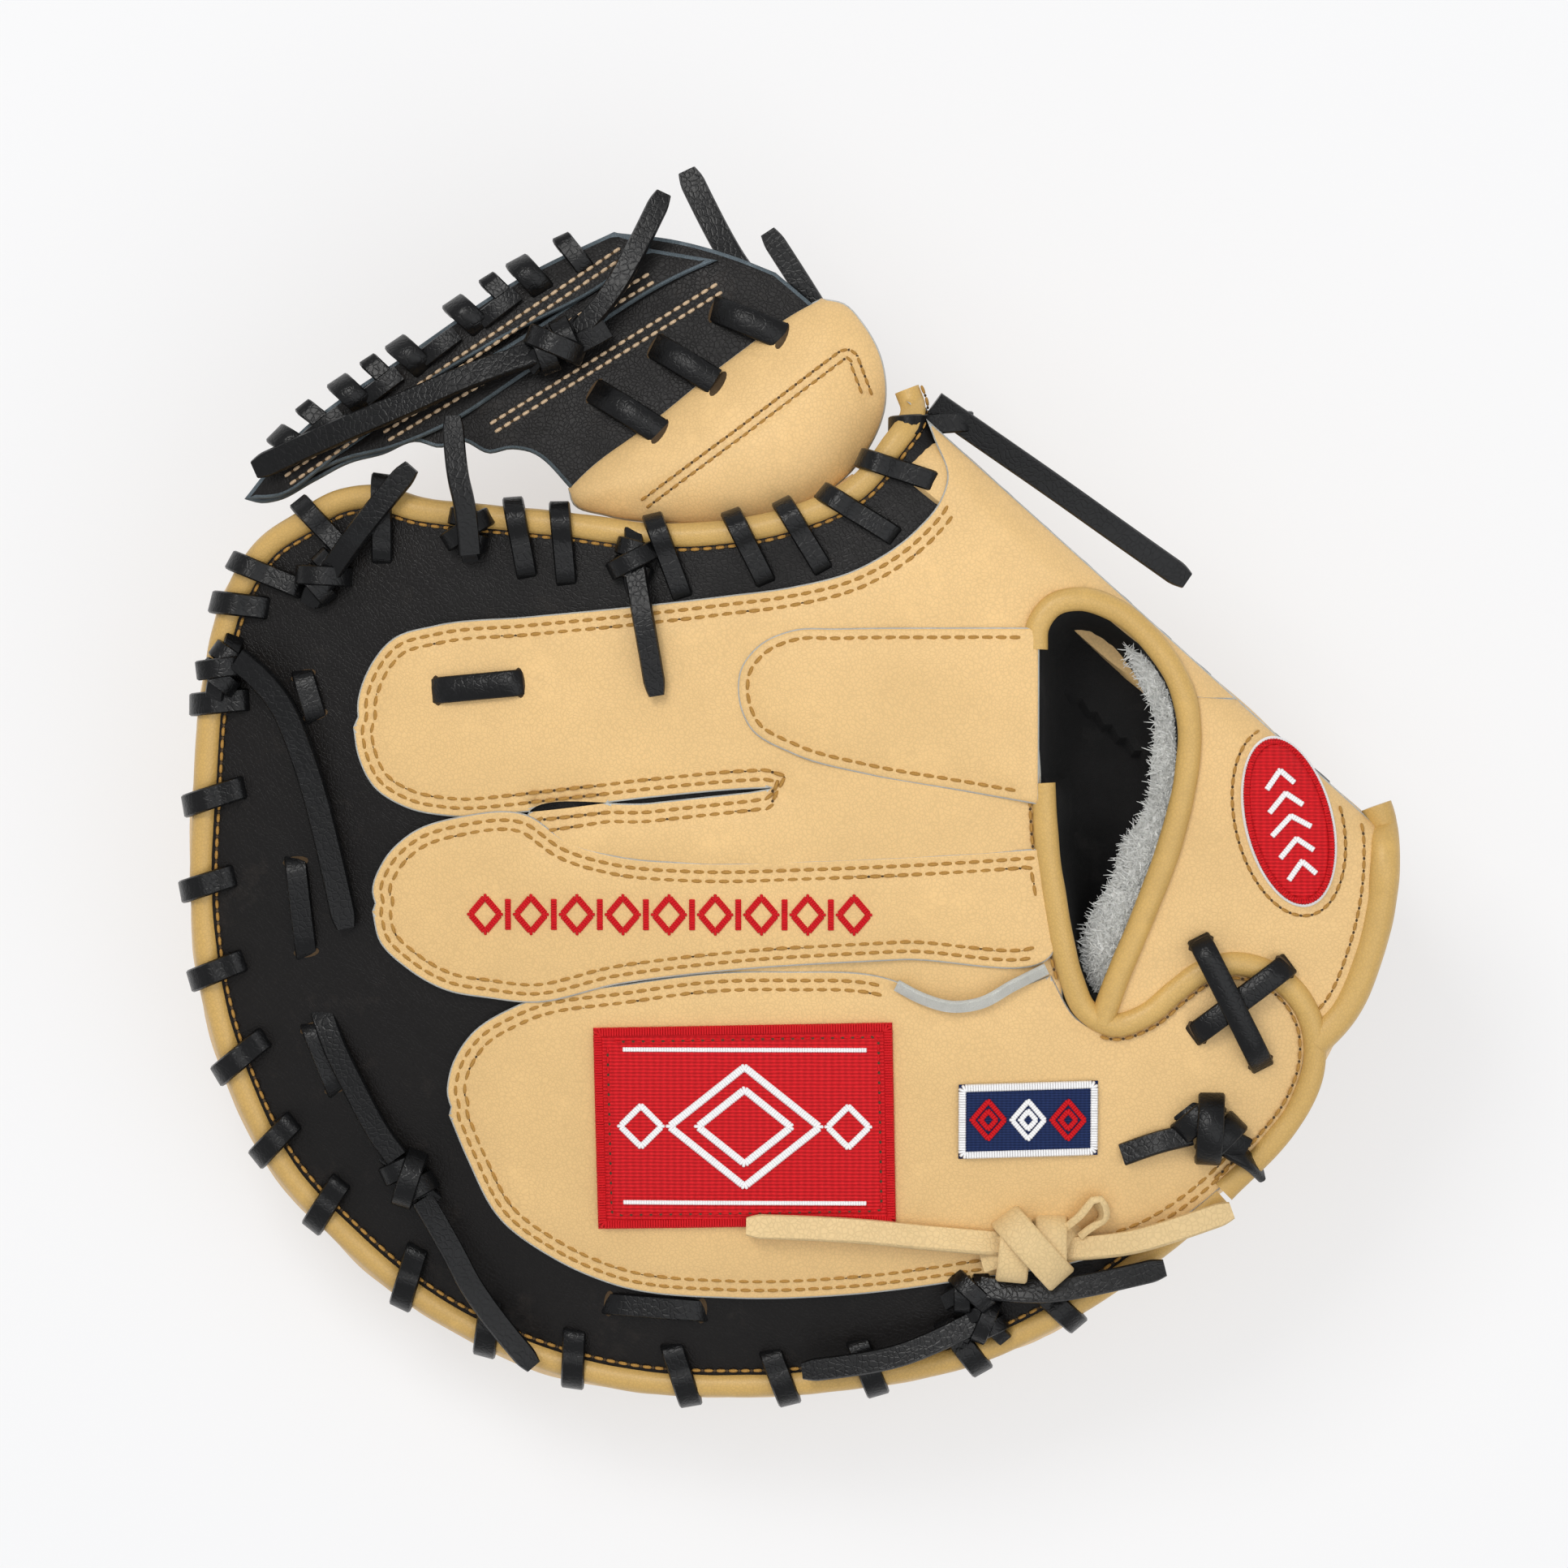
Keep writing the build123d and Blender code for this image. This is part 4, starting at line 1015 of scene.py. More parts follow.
class MITT_OT_studio(MakePiece, bpy.types.Operator):
    """Make the floor, the soft lights and the camera that looks straight down"""

    bl_idname = "mitt.studio"
    bl_label = "Studio"

    def execute(self, context):
        scene, settings = context.scene, tints()
        scene.view_settings.view_transform = "Standard"
        world = bpy.data.worlds.new("studio_air")
        world.use_nodes = True
        sky = world.node_tree.nodes["Background"]
        sky.inputs["Color"].default_value = (0.96, 0.975, 1.0, 1.0)
        sky.inputs["Strength"].default_value = 0.62
        scene.world = world
        for name, place, size, power, tint in LIGHTS:
            data = bpy.data.lights.new(name, "AREA")
            data.size, data.energy, data.color = size, power, tint
            light = bpy.data.objects.new(name, data)
            light.location = place
            aim = Vector((0, 0, LIGHT_AIM)) - Vector(place)
            light.rotation_euler = aim.to_track_quat("-Z", "Y").to_euler()
            scene.collection.objects.link(light)
        mesh = bpy.data.meshes.new("floor")
        corners = [(x * FLOOR_HALF, y * FLOOR_HALF, 0) for x, y in ((-1, -1), (1, -1), (1, 1), (-1, 1))]
        mesh.from_pydata(corners, [], [(0, 1, 2, 3)])
        floor = bpy.data.objects.new("floor", mesh)
        material, _, shader = bare_material("studio_floor")
        shader.inputs["Base Color"].default_value = (0.35, 0.35, 0.355, 1)
        shader.inputs["Emission Color"].default_value = (1.0, 1.0, 1.0, 1)
        shader.inputs["Emission Strength"].default_value = 0.545
        shader.inputs["Roughness"].default_value = 0.95
        shader.inputs["Specular IOR Level"].default_value = 0.1
        mesh.materials.append(material)
        scene.collection.objects.link(floor)
        floor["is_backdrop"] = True
        data = bpy.data.cameras.new("overhead_camera")
        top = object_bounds()[1][2] - CROWN_DROP
        data.lens = data.sensor_width * (settings.camera_height - top) / settings.view_width
        data.clip_end = 20
        camera = bpy.data.objects.new("overhead_camera", data)
        camera.location = (0.0, CAMERA_ASIDE, settings.camera_height)
        scene.collection.objects.link(camera)
        scene.camera = camera
        return {"FINISHED"}


# Degrees that each free end is turned about its own run where it starts
LACE_LEANS = (18, -22, 14, -16, 10, 24, -20)


class MITT_OT_lace_ends(MakePiece, bpy.types.Operator):
    """Make the free ends of the laces, each at its real length"""

    bl_idname = "mitt.lace_ends"
    bl_label = "Free lace ends"

    def execute(self, context):
        for k, (name, body, points, wide, tan) in enumerate(TAILS):
            line = nurbs_line(name, points)
            path = evenly(line / MM, 1.2)
            run = np.gradient(path, axis=0)
            turn = np.linspace(0, 1, len(path))
            lean = math.radians(LACE_LEANS[k % len(LACE_LEANS)]) * (1 - turn)
            level = np.cross((0, 0, 1.0), run)
            level /= np.linalg.norm(level, axis=1)[:, None]
            side = level * np.cos(lean)[:, None] + np.array((0, 0, 1.0)) * np.sin(lean)[:, None]
            stock = Stock()
            ribbon(stock, path, side, wide, 2.4, 0, taper=0.12)
            made = stock.piece(name + "_lace", ["tan_rawhide" if tan else "black_rawhide"], body,
                               [name])
            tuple(points[0])
        return {"FINISHED"}


THROAT_SLOPE = 33
PALM_CORNER = 15


class MITT_OT_palm(MakePiece, bpy.types.Operator):
    """Make the palm leather with its hollow for the ball, and the felt padding inside it"""

    bl_idname = "mitt.palm"
    bl_label = "Palm and padding"

    def execute(self, context):
        rim = outline(*FINGER_PLAN, step=1.8)
        steep = math.tan(math.radians(THROAT_SLOPE))

        def under(places, wall):
            x, y = places[:, 0], places[:, 1]
            hollow = dome(x, y, PALM_CENTRE, PALM_RADIUS + wall)
            throat = FOLD_HEIGHT + (out_from_ridge(x, y) + 19.5) / steep + wall * 1.9
            raised = np.maximum(hollow, throat)
            z = np.where(raised > wall + 6, raised,
                         wall + 6 * np.exp(np.minimum((raised - wall - 6) / 6, 0)))
            z = np.where(raised < wall - 14, wall, z)
            d = distance(places, rim)
            corner = np.clip(PALM_CORNER - d, 0, PALM_CORNER)
            rounded = PALM_CORNER - np.sqrt(np.maximum(PALM_CORNER**2 - corner**2, 0))
            z = np.maximum(z, wall) + rounded * (throat < 70)
            return z + 0.6 * np.clip(d / 8, 0, 1) * ripples(places, 26, 12) * (raised > wall + 3)

        places, faces = triangles(rim, [], 3.2, (0.8, 2.0, 4.0, 7.0, 11.0))
        low = under(places, 0.0)
        edges = border(faces)
        loop = [edges[0][0]]
        after = dict(edges)
        while after[loop[-1]] != loop[0]:
            loop.append(after[loop[-1]])
        ring = places[loop]
        out = outward_of(ring)
        fold_side = out_from_ridge(*ring.T) > -24
        top = back_z(*ring.T) - 4.6
        top = np.where(fold_side, np.minimum(top, FOLD_HEIGHT + 1), top)
        stock = Stock()
        rows, bottom = 9, low[loop]
        levels = [np.column_stack([places, low])]
        for k in range(1, rows + 1):
            share = k / rows
            swell = 2.2 * math.sin(math.pi * share) * np.where(fold_side, 0, 1)
            wave = ripples(ring + k * 3.1, 17, 3)
            swell = swell + 0.7 * math.sin(math.pi * share) * wave * np.where(fold_side, 0, 1)
            flat = ring + out * swell[:, None]
            levels.append(np.column_stack([flat, bottom + (top - bottom) * share]))
        walls, n = [], len(loop)
        for k in range(rows):
            upper = [len(places) + k * n + j for j in range(n)]
            walls += [(loop[j], loop[(j + 1) % n], upper[(j + 1) % n], upper[j]) for j in range(n)]
            loop = upper
        stock.add(np.vstack(levels), [*faces[:, ::-1].tolist(), *walls])
        palm = stock.piece("palm_cover", ["tan_hide", "soft_lining"], FINGER,
                           ["palm_leather"])
        wall = palm.modifiers.new("wall", "SOLIDIFY")
        wall.thickness, wall.offset, wall.material_offset = 2.6 * MM, -1.0, 1
        bake_modifiers(palm)
        # A double seam runs round the palm
        trim = Stock()

        def face(line):
            return under(line, -0.25)

        for inset in (20, 23):
            line = drawn_in(rim, inset)
            stitches(trim, np.vstack([line, line[:1]]), face, pitch=4, long=3.1, thick=1.0)
        trim.piece("palm_seams", ["thread"], FINGER)
        # Felt inside, hollowed on top for the hand
        core = outline([tuple(p) for p in drawn_in(rim, 4.4)[::6]])
        places, faces = triangles(core, [], 4.5, (1.5,))
        low = under(places, 3.4)
        x, y = places[:, 0], places[:, 1]
        hand = 1 - np.clip((np.hypot((x - 30) / 128, (y + 22) / 74) - 0.88) / 0.2, 0, 1)
        floor = dome(x, y, FLOOR_CENTRE, FLOOR_RADIUS) - 0.4
        high = back_z(x, y) - 6.2
        high = np.where(out_from_ridge(x, y) > -38, np.minimum(high, FOLD_HEIGHT), high)
        high = np.maximum(high * (1 - hand) + np.minimum(floor, high) * hand, low + 1.0)
        stuffing = Stock()
        solid = np.vstack([np.column_stack([places, high]), np.column_stack([places, low])])
        stuffing.add(solid, slab(faces, len(places)))
        pad = stuffing.piece("palm_felt", ["felt"], FINGER, ["palm_padding"])
        return {"FINISHED"}


def bake_modifiers(made):
    """Turns an object's modifiers into its mesh."""
    graph = bpy.context.evaluated_depsgraph_get()
    mesh = bpy.data.meshes.new_from_object(made.evaluated_get(graph))
    made.modifiers.clear()
    made.data = mesh


class MITT_OT_shell(MakePiece, bpy.types.Operator):
    """Make the black back shell"""

    bl_idname = "mitt.shell"
    bl_label = "Back shell"

    def execute(self, context):
        stock = Stock()
        HIDES["shell"].cut(stock, spacing=2.4)
        stock.piece("black_shell", ["black_hide", "black_edge"], ACROSS, ["back_shell"])
        return {"FINISHED"}


ROLLED_EDGE = [(-2.9, -1.2), (-2.8, 0.5), (-2.2, 1.5), (-1.0, 2.25), (0.3, 2.4), (1.5, 2.0), (2.5, 1.0),
               (3.0, -0.6), (2.9, -3.4), (2.1, -5.2), (0.8, -6.0), (-1.0, -6.2)]
LOW_EDGE = [(-2.9, -1.4), (-2.9, -0.2), (-2.3, 0.9), (-1.2, 1.6), (0.0, 1.85), (1.2, 1.6), (2.3, 0.9),
            (2.9, -0.2), (2.9, -1.4)]


class MITT_OT_rim(MakePiece, bpy.types.Operator):
    """Make the rolled binding round the fingers, with its stitch row"""

    bl_idname = "mitt.rim"
    bl_label = "Rim binding"

    def execute(self, context):
        line = curve(RIM_LINE, 1.3)
        stock = Stock()
        roll(stock, line, hide_z, ROLLED_EDGE, swell=0.045, seed=8)
        inner = line - outward_of(line, False) * 3.5
        stitches(stock, inner, plain(over(hide_z, 0.25)), 3.0, 2.2, 0.8, finish=1, hole_shade_finish=2)
        stock.piece("rim_roll", ["binding_hide", "thread", "needle_hole"], ACROSS,
                    ["rim_binding"])
        return {"FINISHED"}


def lace_hole_shade(stock, place, direction, surface, finish, long=5.0, wide=1.6):
    """A flat dark oval of painted shade where a lace goes down into the leather."""
    turn = np.linspace(0, 2 * math.pi, 14, endpoint=False)
    run = np.array(direction, float) / np.linalg.norm(direction)
    side = np.array((-run[1], run[0]))
    flat = np.array(place) + np.outer(np.cos(turn) * long / 2, run) + np.outer(np.sin(turn) * wide / 2, side)
    z = surface(flat[:, 0], flat[:, 1]) + 0.07
    stock.add(np.column_stack([flat, z]), [tuple(range(14))], finish)


def whip_loop(stock, spot, outward, surface, reach=9.0, over_edge=2.9, lean=0.28, drop=11.0, wide=5.6,
              proud=3.6):
    """A lace that comes up through the leather, over the rolled edge and down outside it."""
    outward = np.array(outward, float)
    along = np.array((-outward[1], outward[0]))
    shape = [(-reach, -0.9), (-reach + 0.8, 0.9), (-reach * 0.62, 1.7), (-3.1, 2.2), (-1.2, proud - 0.15),
             (1.0, proud),
             (over_edge, proud * 0.55), (over_edge + 1.5, -1.6), (over_edge + 1.3, -drop * 0.55),
             (over_edge - 0.6, -drop)]
    points = []
    for out, up in shape:
        flat = spot + outward * out + along * lean * (out + reach) * 0.6
        inner = spot + outward * min(out, 1.0)
        points.append((*flat, float(surface(*inner)) + up))
    tilt = np.array((*(along - outward * lean * 0.35), 0.0))
    arc_ribbon(stock, points, tilt, wide, 2.0)
    lace_hole_shade(stock, points[1][:2], along, over(surface, 0.0), 1)


RIM_LOOPS = [(-134, 55), (-140, 30), (-141, 8), (-141.5, -14), (-139.5, -36), (-135, -57), (-126, -78),
             (-114.5, -95), (-95, -112), (-75, -125), (-53, -133.5), (-28, -138), (-3, -138.5), (19, -136.5),
             (42, -132), (66, -121.5)]
WEB_SIDE_LOOPS = [(-127, 63), (-111, 74), (-92, 75), (-60, 71.5), (-50, 70), (-25, 67.5), (-7, 69), (5, 72),
                  (17, 78.5), (25.5, 87), (30.5, 97)]


class MITT_OT_rim_laces(MakePiece, bpy.types.Operator):
    """Make the lace loops that whip the binding to the palm"""

    bl_idname = "mitt.rim_laces"
    bl_label = "Rim laces"

    def execute(self, context):
        line = curve(RIM_LINE, 1.0)
        out = outward_of(line, False)
        for name, spots, node_name, reach, drop, lean, wide in (
                ("rim_loops", RIM_LOOPS, "rim_lace", 7.8, 13, 0.55, 5.6),
                ("web_side_loops", WEB_SIDE_LOOPS, "web_side_lace", 13.0, 9, 0.5, 5.0)):
            stock = Stock()
            for k, spot in enumerate(spots):
                at = int(np.argmin(np.hypot(*(line - spot).T)))
                whip_loop(stock, line[at], out[at], hide_z, reach + (k % 3) * 0.7, drop=drop,
                          lean=lean * (1, 0.75, 1.2)[k % 3], wide=wide)
            stock.piece(name, ["black_rawhide", "needle_hole"], ACROSS, [node_name])
        return {"FINISHED"}


class MITT_OT_back_panels(MakePiece, bpy.types.Operator):
    """Make the tan panels of the back with their double seams"""

    bl_idname = "mitt.back_panels"
    bl_label = "Back panels"

    def execute(self, context):
        names = ["tan_hide", "raw_edge", "thread", "needle_hole"]
        how = {"finish": 2, "hole_shade_finish": 3, "pitch": tints().stitch_pitch, "long": 2.85, "thick": 0.95}
        stock = Stock()
        back = HIDES["hand_back"]
        back.cut(stock)

        def where_sewn(x, y):
            return (x < 45) & (y > -11) & (out_from_ridge(x, y) < -15)

        seam_rows(stock, back, DOUBLE_SEAM, where_sewn, **how)
        stock.piece("hand_back_panel", names, ACROSS, ["index_panel"])
        stock = Stock()
        middle = HIDES["middle"]
        middle.cut(stock)
        seam_rows(stock, middle, DOUBLE_SEAM, lambda x, y: x < 60.5, **how)
        Hide(outline(*UNDERLAP), over(hide_z, 1.6), 1.4, ripple=0.6, seed=9).cut(stock)
        diamonds(stock, [(-72 + 11.1 * k, -23.6) for k in range(9)], middle.top, 4)
        stock.piece("middle_panel_hide", [*names, "red_thread"], FINGER, ["middle_panel"])
        stock = Stock()
        little = HIDES["little"]
        little.cut(stock)
        seam_rows(stock, little, DOUBLE_SEAM, lambda x, y: (x < 24) | (y < -80), **how)
        fold = [(27, -40.5), (33, -43.6), (40, -45.6), (47, -44.8), (55, -40.5), (63, -36.5)]
        points = [(x, y, float(hide_z(x, y)) + 3.6 + 1.4 * math.sin((x - 27) / 36 * math.pi))
                  for x, y in fold]
        arc_ribbon(stock, points, (0.0, 0.75, 0.66), 3.2, 1.3, finish=1)
        stock.piece("little_finger_hide", names, FINGER, ["little_finger_panel"])
        stock = Stock()
        pad = HIDES["pad"]
        pad.cut(stock)
        seam_rows(stock, pad, (2.4,), lambda x, y: x < 57.5, **how)
        made = stock.piece("pointing_pad_hide", names, FINGER, ["pointing_pad"])
        return {"FINISHED"}


def diamond(x, y, across, up):
    """Corners of a diamond with its half width and half height."""
    return np.array([(x - across, y), (x, y - up), (x + across, y), (x, y + up)], float)


def diamonds(stock, centres, height, finish, half=(3.6, 4.2)):
    """A row of embroidered diamonds with a bar between each two."""
    for k, (x, y) in enumerate(centres):
        satin(stock, diamond(x, y, *half), height, 1.7, finish)
        if k + 1 < len(centres):
            middle = (x + centres[k + 1][0]) / 2
            bar = np.array([(middle, y - half[1] * 0.8), (middle, y + half[1] * 0.8)])
            satin(stock, bar, height, 1.6, finish, closed=False)


PIT_DEPTH = 27
PIT_LINING_THICK = 1.1


class MITT_OT_opening(MakePiece, bpy.types.Operator):
    """Make the hand opening: its lining, near-black with painted shade, the finger stalls and the rolled
    edges
    """

    bl_idname = "mitt.opening"
    bl_label = "Hand opening"

    def execute(self, context):
        hole = outline(*OPENING)
        rim = hole + outward_of(hole) * 2.2
        pit = Hide(rim, over(hide_z, -1.0), 1.0, round_off=0.1, ripple=0)

        def deep(places):
            return -PIT_DEPTH * (1 - np.exp(-np.maximum(distance(places, rim) - 1.5, 0) / 3.2))

        stock = Stock()
        places, faces = triangles(rim, [], 1.8, (0.8, 1.6, 2.6, 3.8, 5.2))
        top = pit.top(places, deep) + 0.5 * ripples(places, 9, 31)
        near_fold = out_from_ridge(places[:, 0], places[:, 1]) > -29
        top = np.where(near_fold, np.maximum(top, FOLD_HEIGHT + 4), top)
        solid = np.vstack([np.column_stack([places, top]), np.column_stack([places, top - PIT_LINING_THICK])])
        stock.add(solid, slab(faces, len(places)))
        # Near-black lining: painted shade for the inside of the deep opening
        stock.piece("hand_opening_shade_lining", ["lining_suede"], FINGER, ["hand_lining"])
        finish_node("finger_stalls", soft_lining())
        # Rolled edges round the opening and up over the wrist tab
        stock = Stock()
        front = curve(FRONT_STRIP, 1.2)
        roll(stock, front, over(hide_z, HIDE_LIFT + 0.5), LOW_EDGE, swell=0.05, seed=21)
        out, corner, rise = outward_of(front, False), int(len(front) * 0.3), int(len(front) * 0.36)
        inner = front[:corner] + out[:corner] * 3.4
        stitches(stock, inner, plain(over(hide_z, HIDE_LIFT + 0.4)), 3.0, 2.2, 0.8, finish=1, hole_shade_finish=2)
        tab = front[rise:] + out[rise:] * 3.6
        stitches(stock, tab, plain(over(hide_z, HIDE_LIFT + 0.6)), 3.0, 2.2, 0.8, finish=1, hole_shade_finish=2)
        stock.piece("opening_front_roll", ["binding_hide", "thread", "needle_hole"], FINGER,
                    ["opening_binding", "wrist_tab"])
        stock = Stock()
        arch = curve(ARCH, 1.2)[::-1]
        roll(stock, arch, over(hide_z, HIDE_LIFT + 0.9), LOW_EDGE, swell=0.05, seed=22)
        stock.piece("opening_arch_roll", ["binding_hide"], ACROSS, ["opening_arch"])
        return {"FINISHED"}


def finish_node(name, material):
    """Gives a node of the frame its material."""
    node_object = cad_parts[name]
    if node_object.material_slots:
        for holder in node_object.material_slots:
            holder.material = material
    else:
        node_object.data.materials.append(material)


TUFT_TRIES = 26000
TUFTS = 6500


class MITT_OT_wool(MakePiece, bpy.types.Operator):
    """Make the wool under the strap, with its tufts"""

    bl_idname = "mitt.wool"
    bl_label = "Wool"

    def execute(self, context):
        rim = outline(*WOOL, step=1.1)
        low_side = curve(WOOL[0] + [WOOL[1][0]], 1.0)

        def fleece(x, y):
            flat = np.column_stack([x, y])
            inward = distance(flat, low_side, closed=False)
            return hide_z(x, y) - 2.2 - 7.5 * np.exp(-inward / 4.5)

        bed = Hide(rim, fleece, 6, round_off=2.2, puff=0.8, spread=3, ripple=1.1, seed=17)
        stock = Stock()
        bed.cut(stock, edge_finish=0, spacing=1.5)
        chance = np.random.default_rng(4)
        low, high = rim.min(0) - 1, rim.max(0) + 1
        spots = chance.uniform(low, high, (TUFT_TRIES, 2))
        spots = spots[inside(spots, rim)][:TUFTS]
        near = distance(spots, low_side, closed=False)
        height = bed.top(spots)
        lean = chance.normal(0, 0.55, (len(spots), 2)) + np.array((-0.5, 0.12)) * np.exp(-near / 5)[:, None]
        curl = chance.normal(0, 0.5, (len(spots), 2))
        long = chance.uniform(1.4, 3.0, len(spots))
        for k in range(len(spots)):
            root = np.array((*spots[k], height[k] - 0.5))
            way = np.array((*lean[k], 1.0))
            way /= np.linalg.norm(way)
            bend = np.array((*curl[k], 0.0))
            side = np.cross(way, (0.3, 0.9, 0.1))
            side /= np.linalg.norm(side)
            other = np.cross(way, side)
            rings = []
            for share, size in ((0.0, 0.2), (0.5, 0.15), (1.0, 0.05)):
                middle = root + way * long[k] * share + bend * share**2
                rings += [middle + (side * c + other * s) * size
                          for c, s in ((1, 0), (-0.5, 0.87), (-0.5, -0.87))]
            stock.add(rings, joined_rings(3, 3))
        stock.piece("strap_wool", ["wool"], FINGER, ["strap_shearling"], crease=80)
        return {"FINISHED"}


CHEVRON_RISE = 5.6
CHEVRON_HALF = 4.6


class MITT_OT_strap(MakePiece, bpy.types.Operator):
    """Make the wrist strap with its oval patch and the heel's rolled edge"""

    bl_idname = "mitt.strap"
    bl_label = "Wrist strap"

    def execute(self, context):
        stock = Stock()
        strap = HIDES["strap"]
        strap.cut(stock)
        ring = oval(3.6)
        ring = ring[out_from_ridge(*ring.T) < -4.5]
        start = int(np.argmax(np.linalg.norm(np.diff(ring, axis=0, append=ring[:1]), axis=1))) + 1
        stitches(stock, np.roll(ring, -start, 0), strap.top, 2.7, 2.1, 0.8, finish=2, hole_shade_finish=3)
        stock.piece("wrist_strap_hide", ["tan_hide", "raw_edge", "thread", "needle_hole"], ACROSS,
                    ["wrist_strap"])
        stock = Stock()
        line = curve(HEEL_LINE, 1.2)[::-1]

        def along_heel(x, y):
            return hide_z(x, y) + 1.9 + np.clip(out_from_ridge(x, y) + 16, 0, 20) * 0.12

        section = [(a * 1.25, b * 1.15) for a, b in ROLLED_EDGE]
        roll(stock, line, along_heel, section, swell=0.05, seed=25)
        inner = line - outward_of(line, False) * 5.0
        stitches(stock, inner, strap.top, 3.0, 2.2, 0.8, finish=1, hole_shade_finish=2)
        stock.piece("heel_roll", ["binding_hide", "thread", "needle_hole"], ACROSS,
                    ["heel_binding"])
        stock = Stock()
        backing = Hide(oval(1.5), over(surface_of(strap), 1.0), 1.4, 0.5, ripple=0)
        backing.cut(stock, finish=0, edge_finish=0)
        badge = Hide(oval(-0.4), over(surface_of(strap), 1.7), 1.0, 0.4, puff=0.3, ripple=0)
        badge.cut(stock, finish=1, edge_finish=1)
        satin(stock, oval(0.1), badge.top, 1.6, 1)
        for k in range(-2, 3):
            level, half = k * CHEVRON_RISE, CHEVRON_HALF - abs(k) * 0.7
            point = place_on_oval(0, level) + (0.4, 1.4)
            wings = [place_on_oval(-half, level - 2.2), point, place_on_oval(half, level - 2.2)]
            satin(stock, np.array(wings), badge.top, 1.5, 2, closed=False)
        stock.piece("strap_badge", ["white_thread", "red_cloth", "white_thread"], ACROSS,
                    ["strap_patch"])
        return {"FINISHED"}


def place_on_oval(across, up):
    """A place given in the oval patch's own directions."""
    cos, sin = math.cos(OVAL_TURN), math.sin(OVAL_TURN)
    return np.array((OVAL_CENTRE[0] + across * cos - up * sin, OVAL_CENTRE[1] + across * sin + up * cos))


def oval(grow):
    """The oval patch's outline, grown by a margin."""
    wide, high = OVAL_HALF[0] + grow, OVAL_HALF[1] + grow
    turn = np.linspace(0, 2 * math.pi, 72, endpoint=False)
    return np.array([place_on_oval(wide * math.cos(t), high * math.sin(t)) for t in turn])


class MITT_OT_patches(MakePiece, bpy.types.Operator):
    """Make the two sewn patches on the little finger panel"""

    bl_idname = "mitt.patches"
    bl_label = "Patches"

    def execute(self, context):
        little = HIDES["little"]
        stock = Stock()
        base = over(surface_of(little), 0.9)
        field = Hide(outline(*[[p] for p in RED_PATCH]), base, 1.1, 0.4, ripple=0.12, seed=40)
        field.cut(stock, spacing=1.8, edge_finish=0)
        satin(stock, drawn_in(field.rim, 1.1), field.top, 2.3, 1, thick=1.1)
        seam_rows(stock, field, (3.4,), finish=1, hole_shade_finish=3, pitch=2.4, long=1.9, thick=0.6)
        x, y = np.mean(RED_PATCH, axis=0)
        for size in (14.5, 9.0):
            satin(stock, diamond(x, y, size * 1.25, size), field.top, 2.0, 2)
        for side in (-1, 1):
            satin(stock, diamond(x + side * 25, y, 5, 5), field.top, 1.7, 2)
            level = [(x - 29, y + side * 18.6), (x + 29, y + side * 18.6)]
            satin(stock, np.array(level), field.top, 1.2, 2, closed=False)
        stock.piece("red_badge", ["red_cloth", "red_thread", "white_thread", "needle_hole"], FINGER,
                    ["red_patch"])
        stock = Stock()
        field = Hide(outline(*[[p] for p in SMALL_PATCH]), base, 1.0, 0.5, ripple=0.08, seed=41)
        field.cut(stock, spacing=1.8, edge_finish=0)
        satin(stock, drawn_in(field.rim, 0.9), field.top, 1.9, 1, thick=1.1)
        x, y = np.mean(SMALL_PATCH, axis=0)
        for k, finish in ((-1, 2), (0, 1), (1, 2)):
            for size in (4.6, 2.2):
                satin(stock, diamond(x + k * 9.6, y, size * 0.85, size), field.top, 1.4, finish)
        stock.piece("small_badge", ["navy_cloth", "white_thread", "red_thread"], FINGER,
                    ["small_patch"])
        return {"FINISHED"}


# Section of the thumb: outwards from the ridge, and height below its top edge or above the floor
THUMB_WALL = [(-17.2, 78), (-19.5, 68), (-24, 48), (-28.5, 24), (-28.2, 8), (-24.5, 1.2), (-19, 0.6),
              (-13.2, 5), (-8, 20), (-4.6, 44), (-3.4, 66)]

# The roof dips where the hand opening lies over it
DIP_DEPTH, DIP_MIDDLE, DIP_REACH = 23, 109, 21
SEAM_HEIGHT = 38.0
THUMB_LOOP = [(-2.6, 47, -1.0), (-2.0, 45.2, 0.9), (-0.8, 41.5, 1.9), (0, 38, 3.1), (1.2, 34.2, 1.8),
              (2.4, 30, 0.9), (3.0, 28, -1.0)]


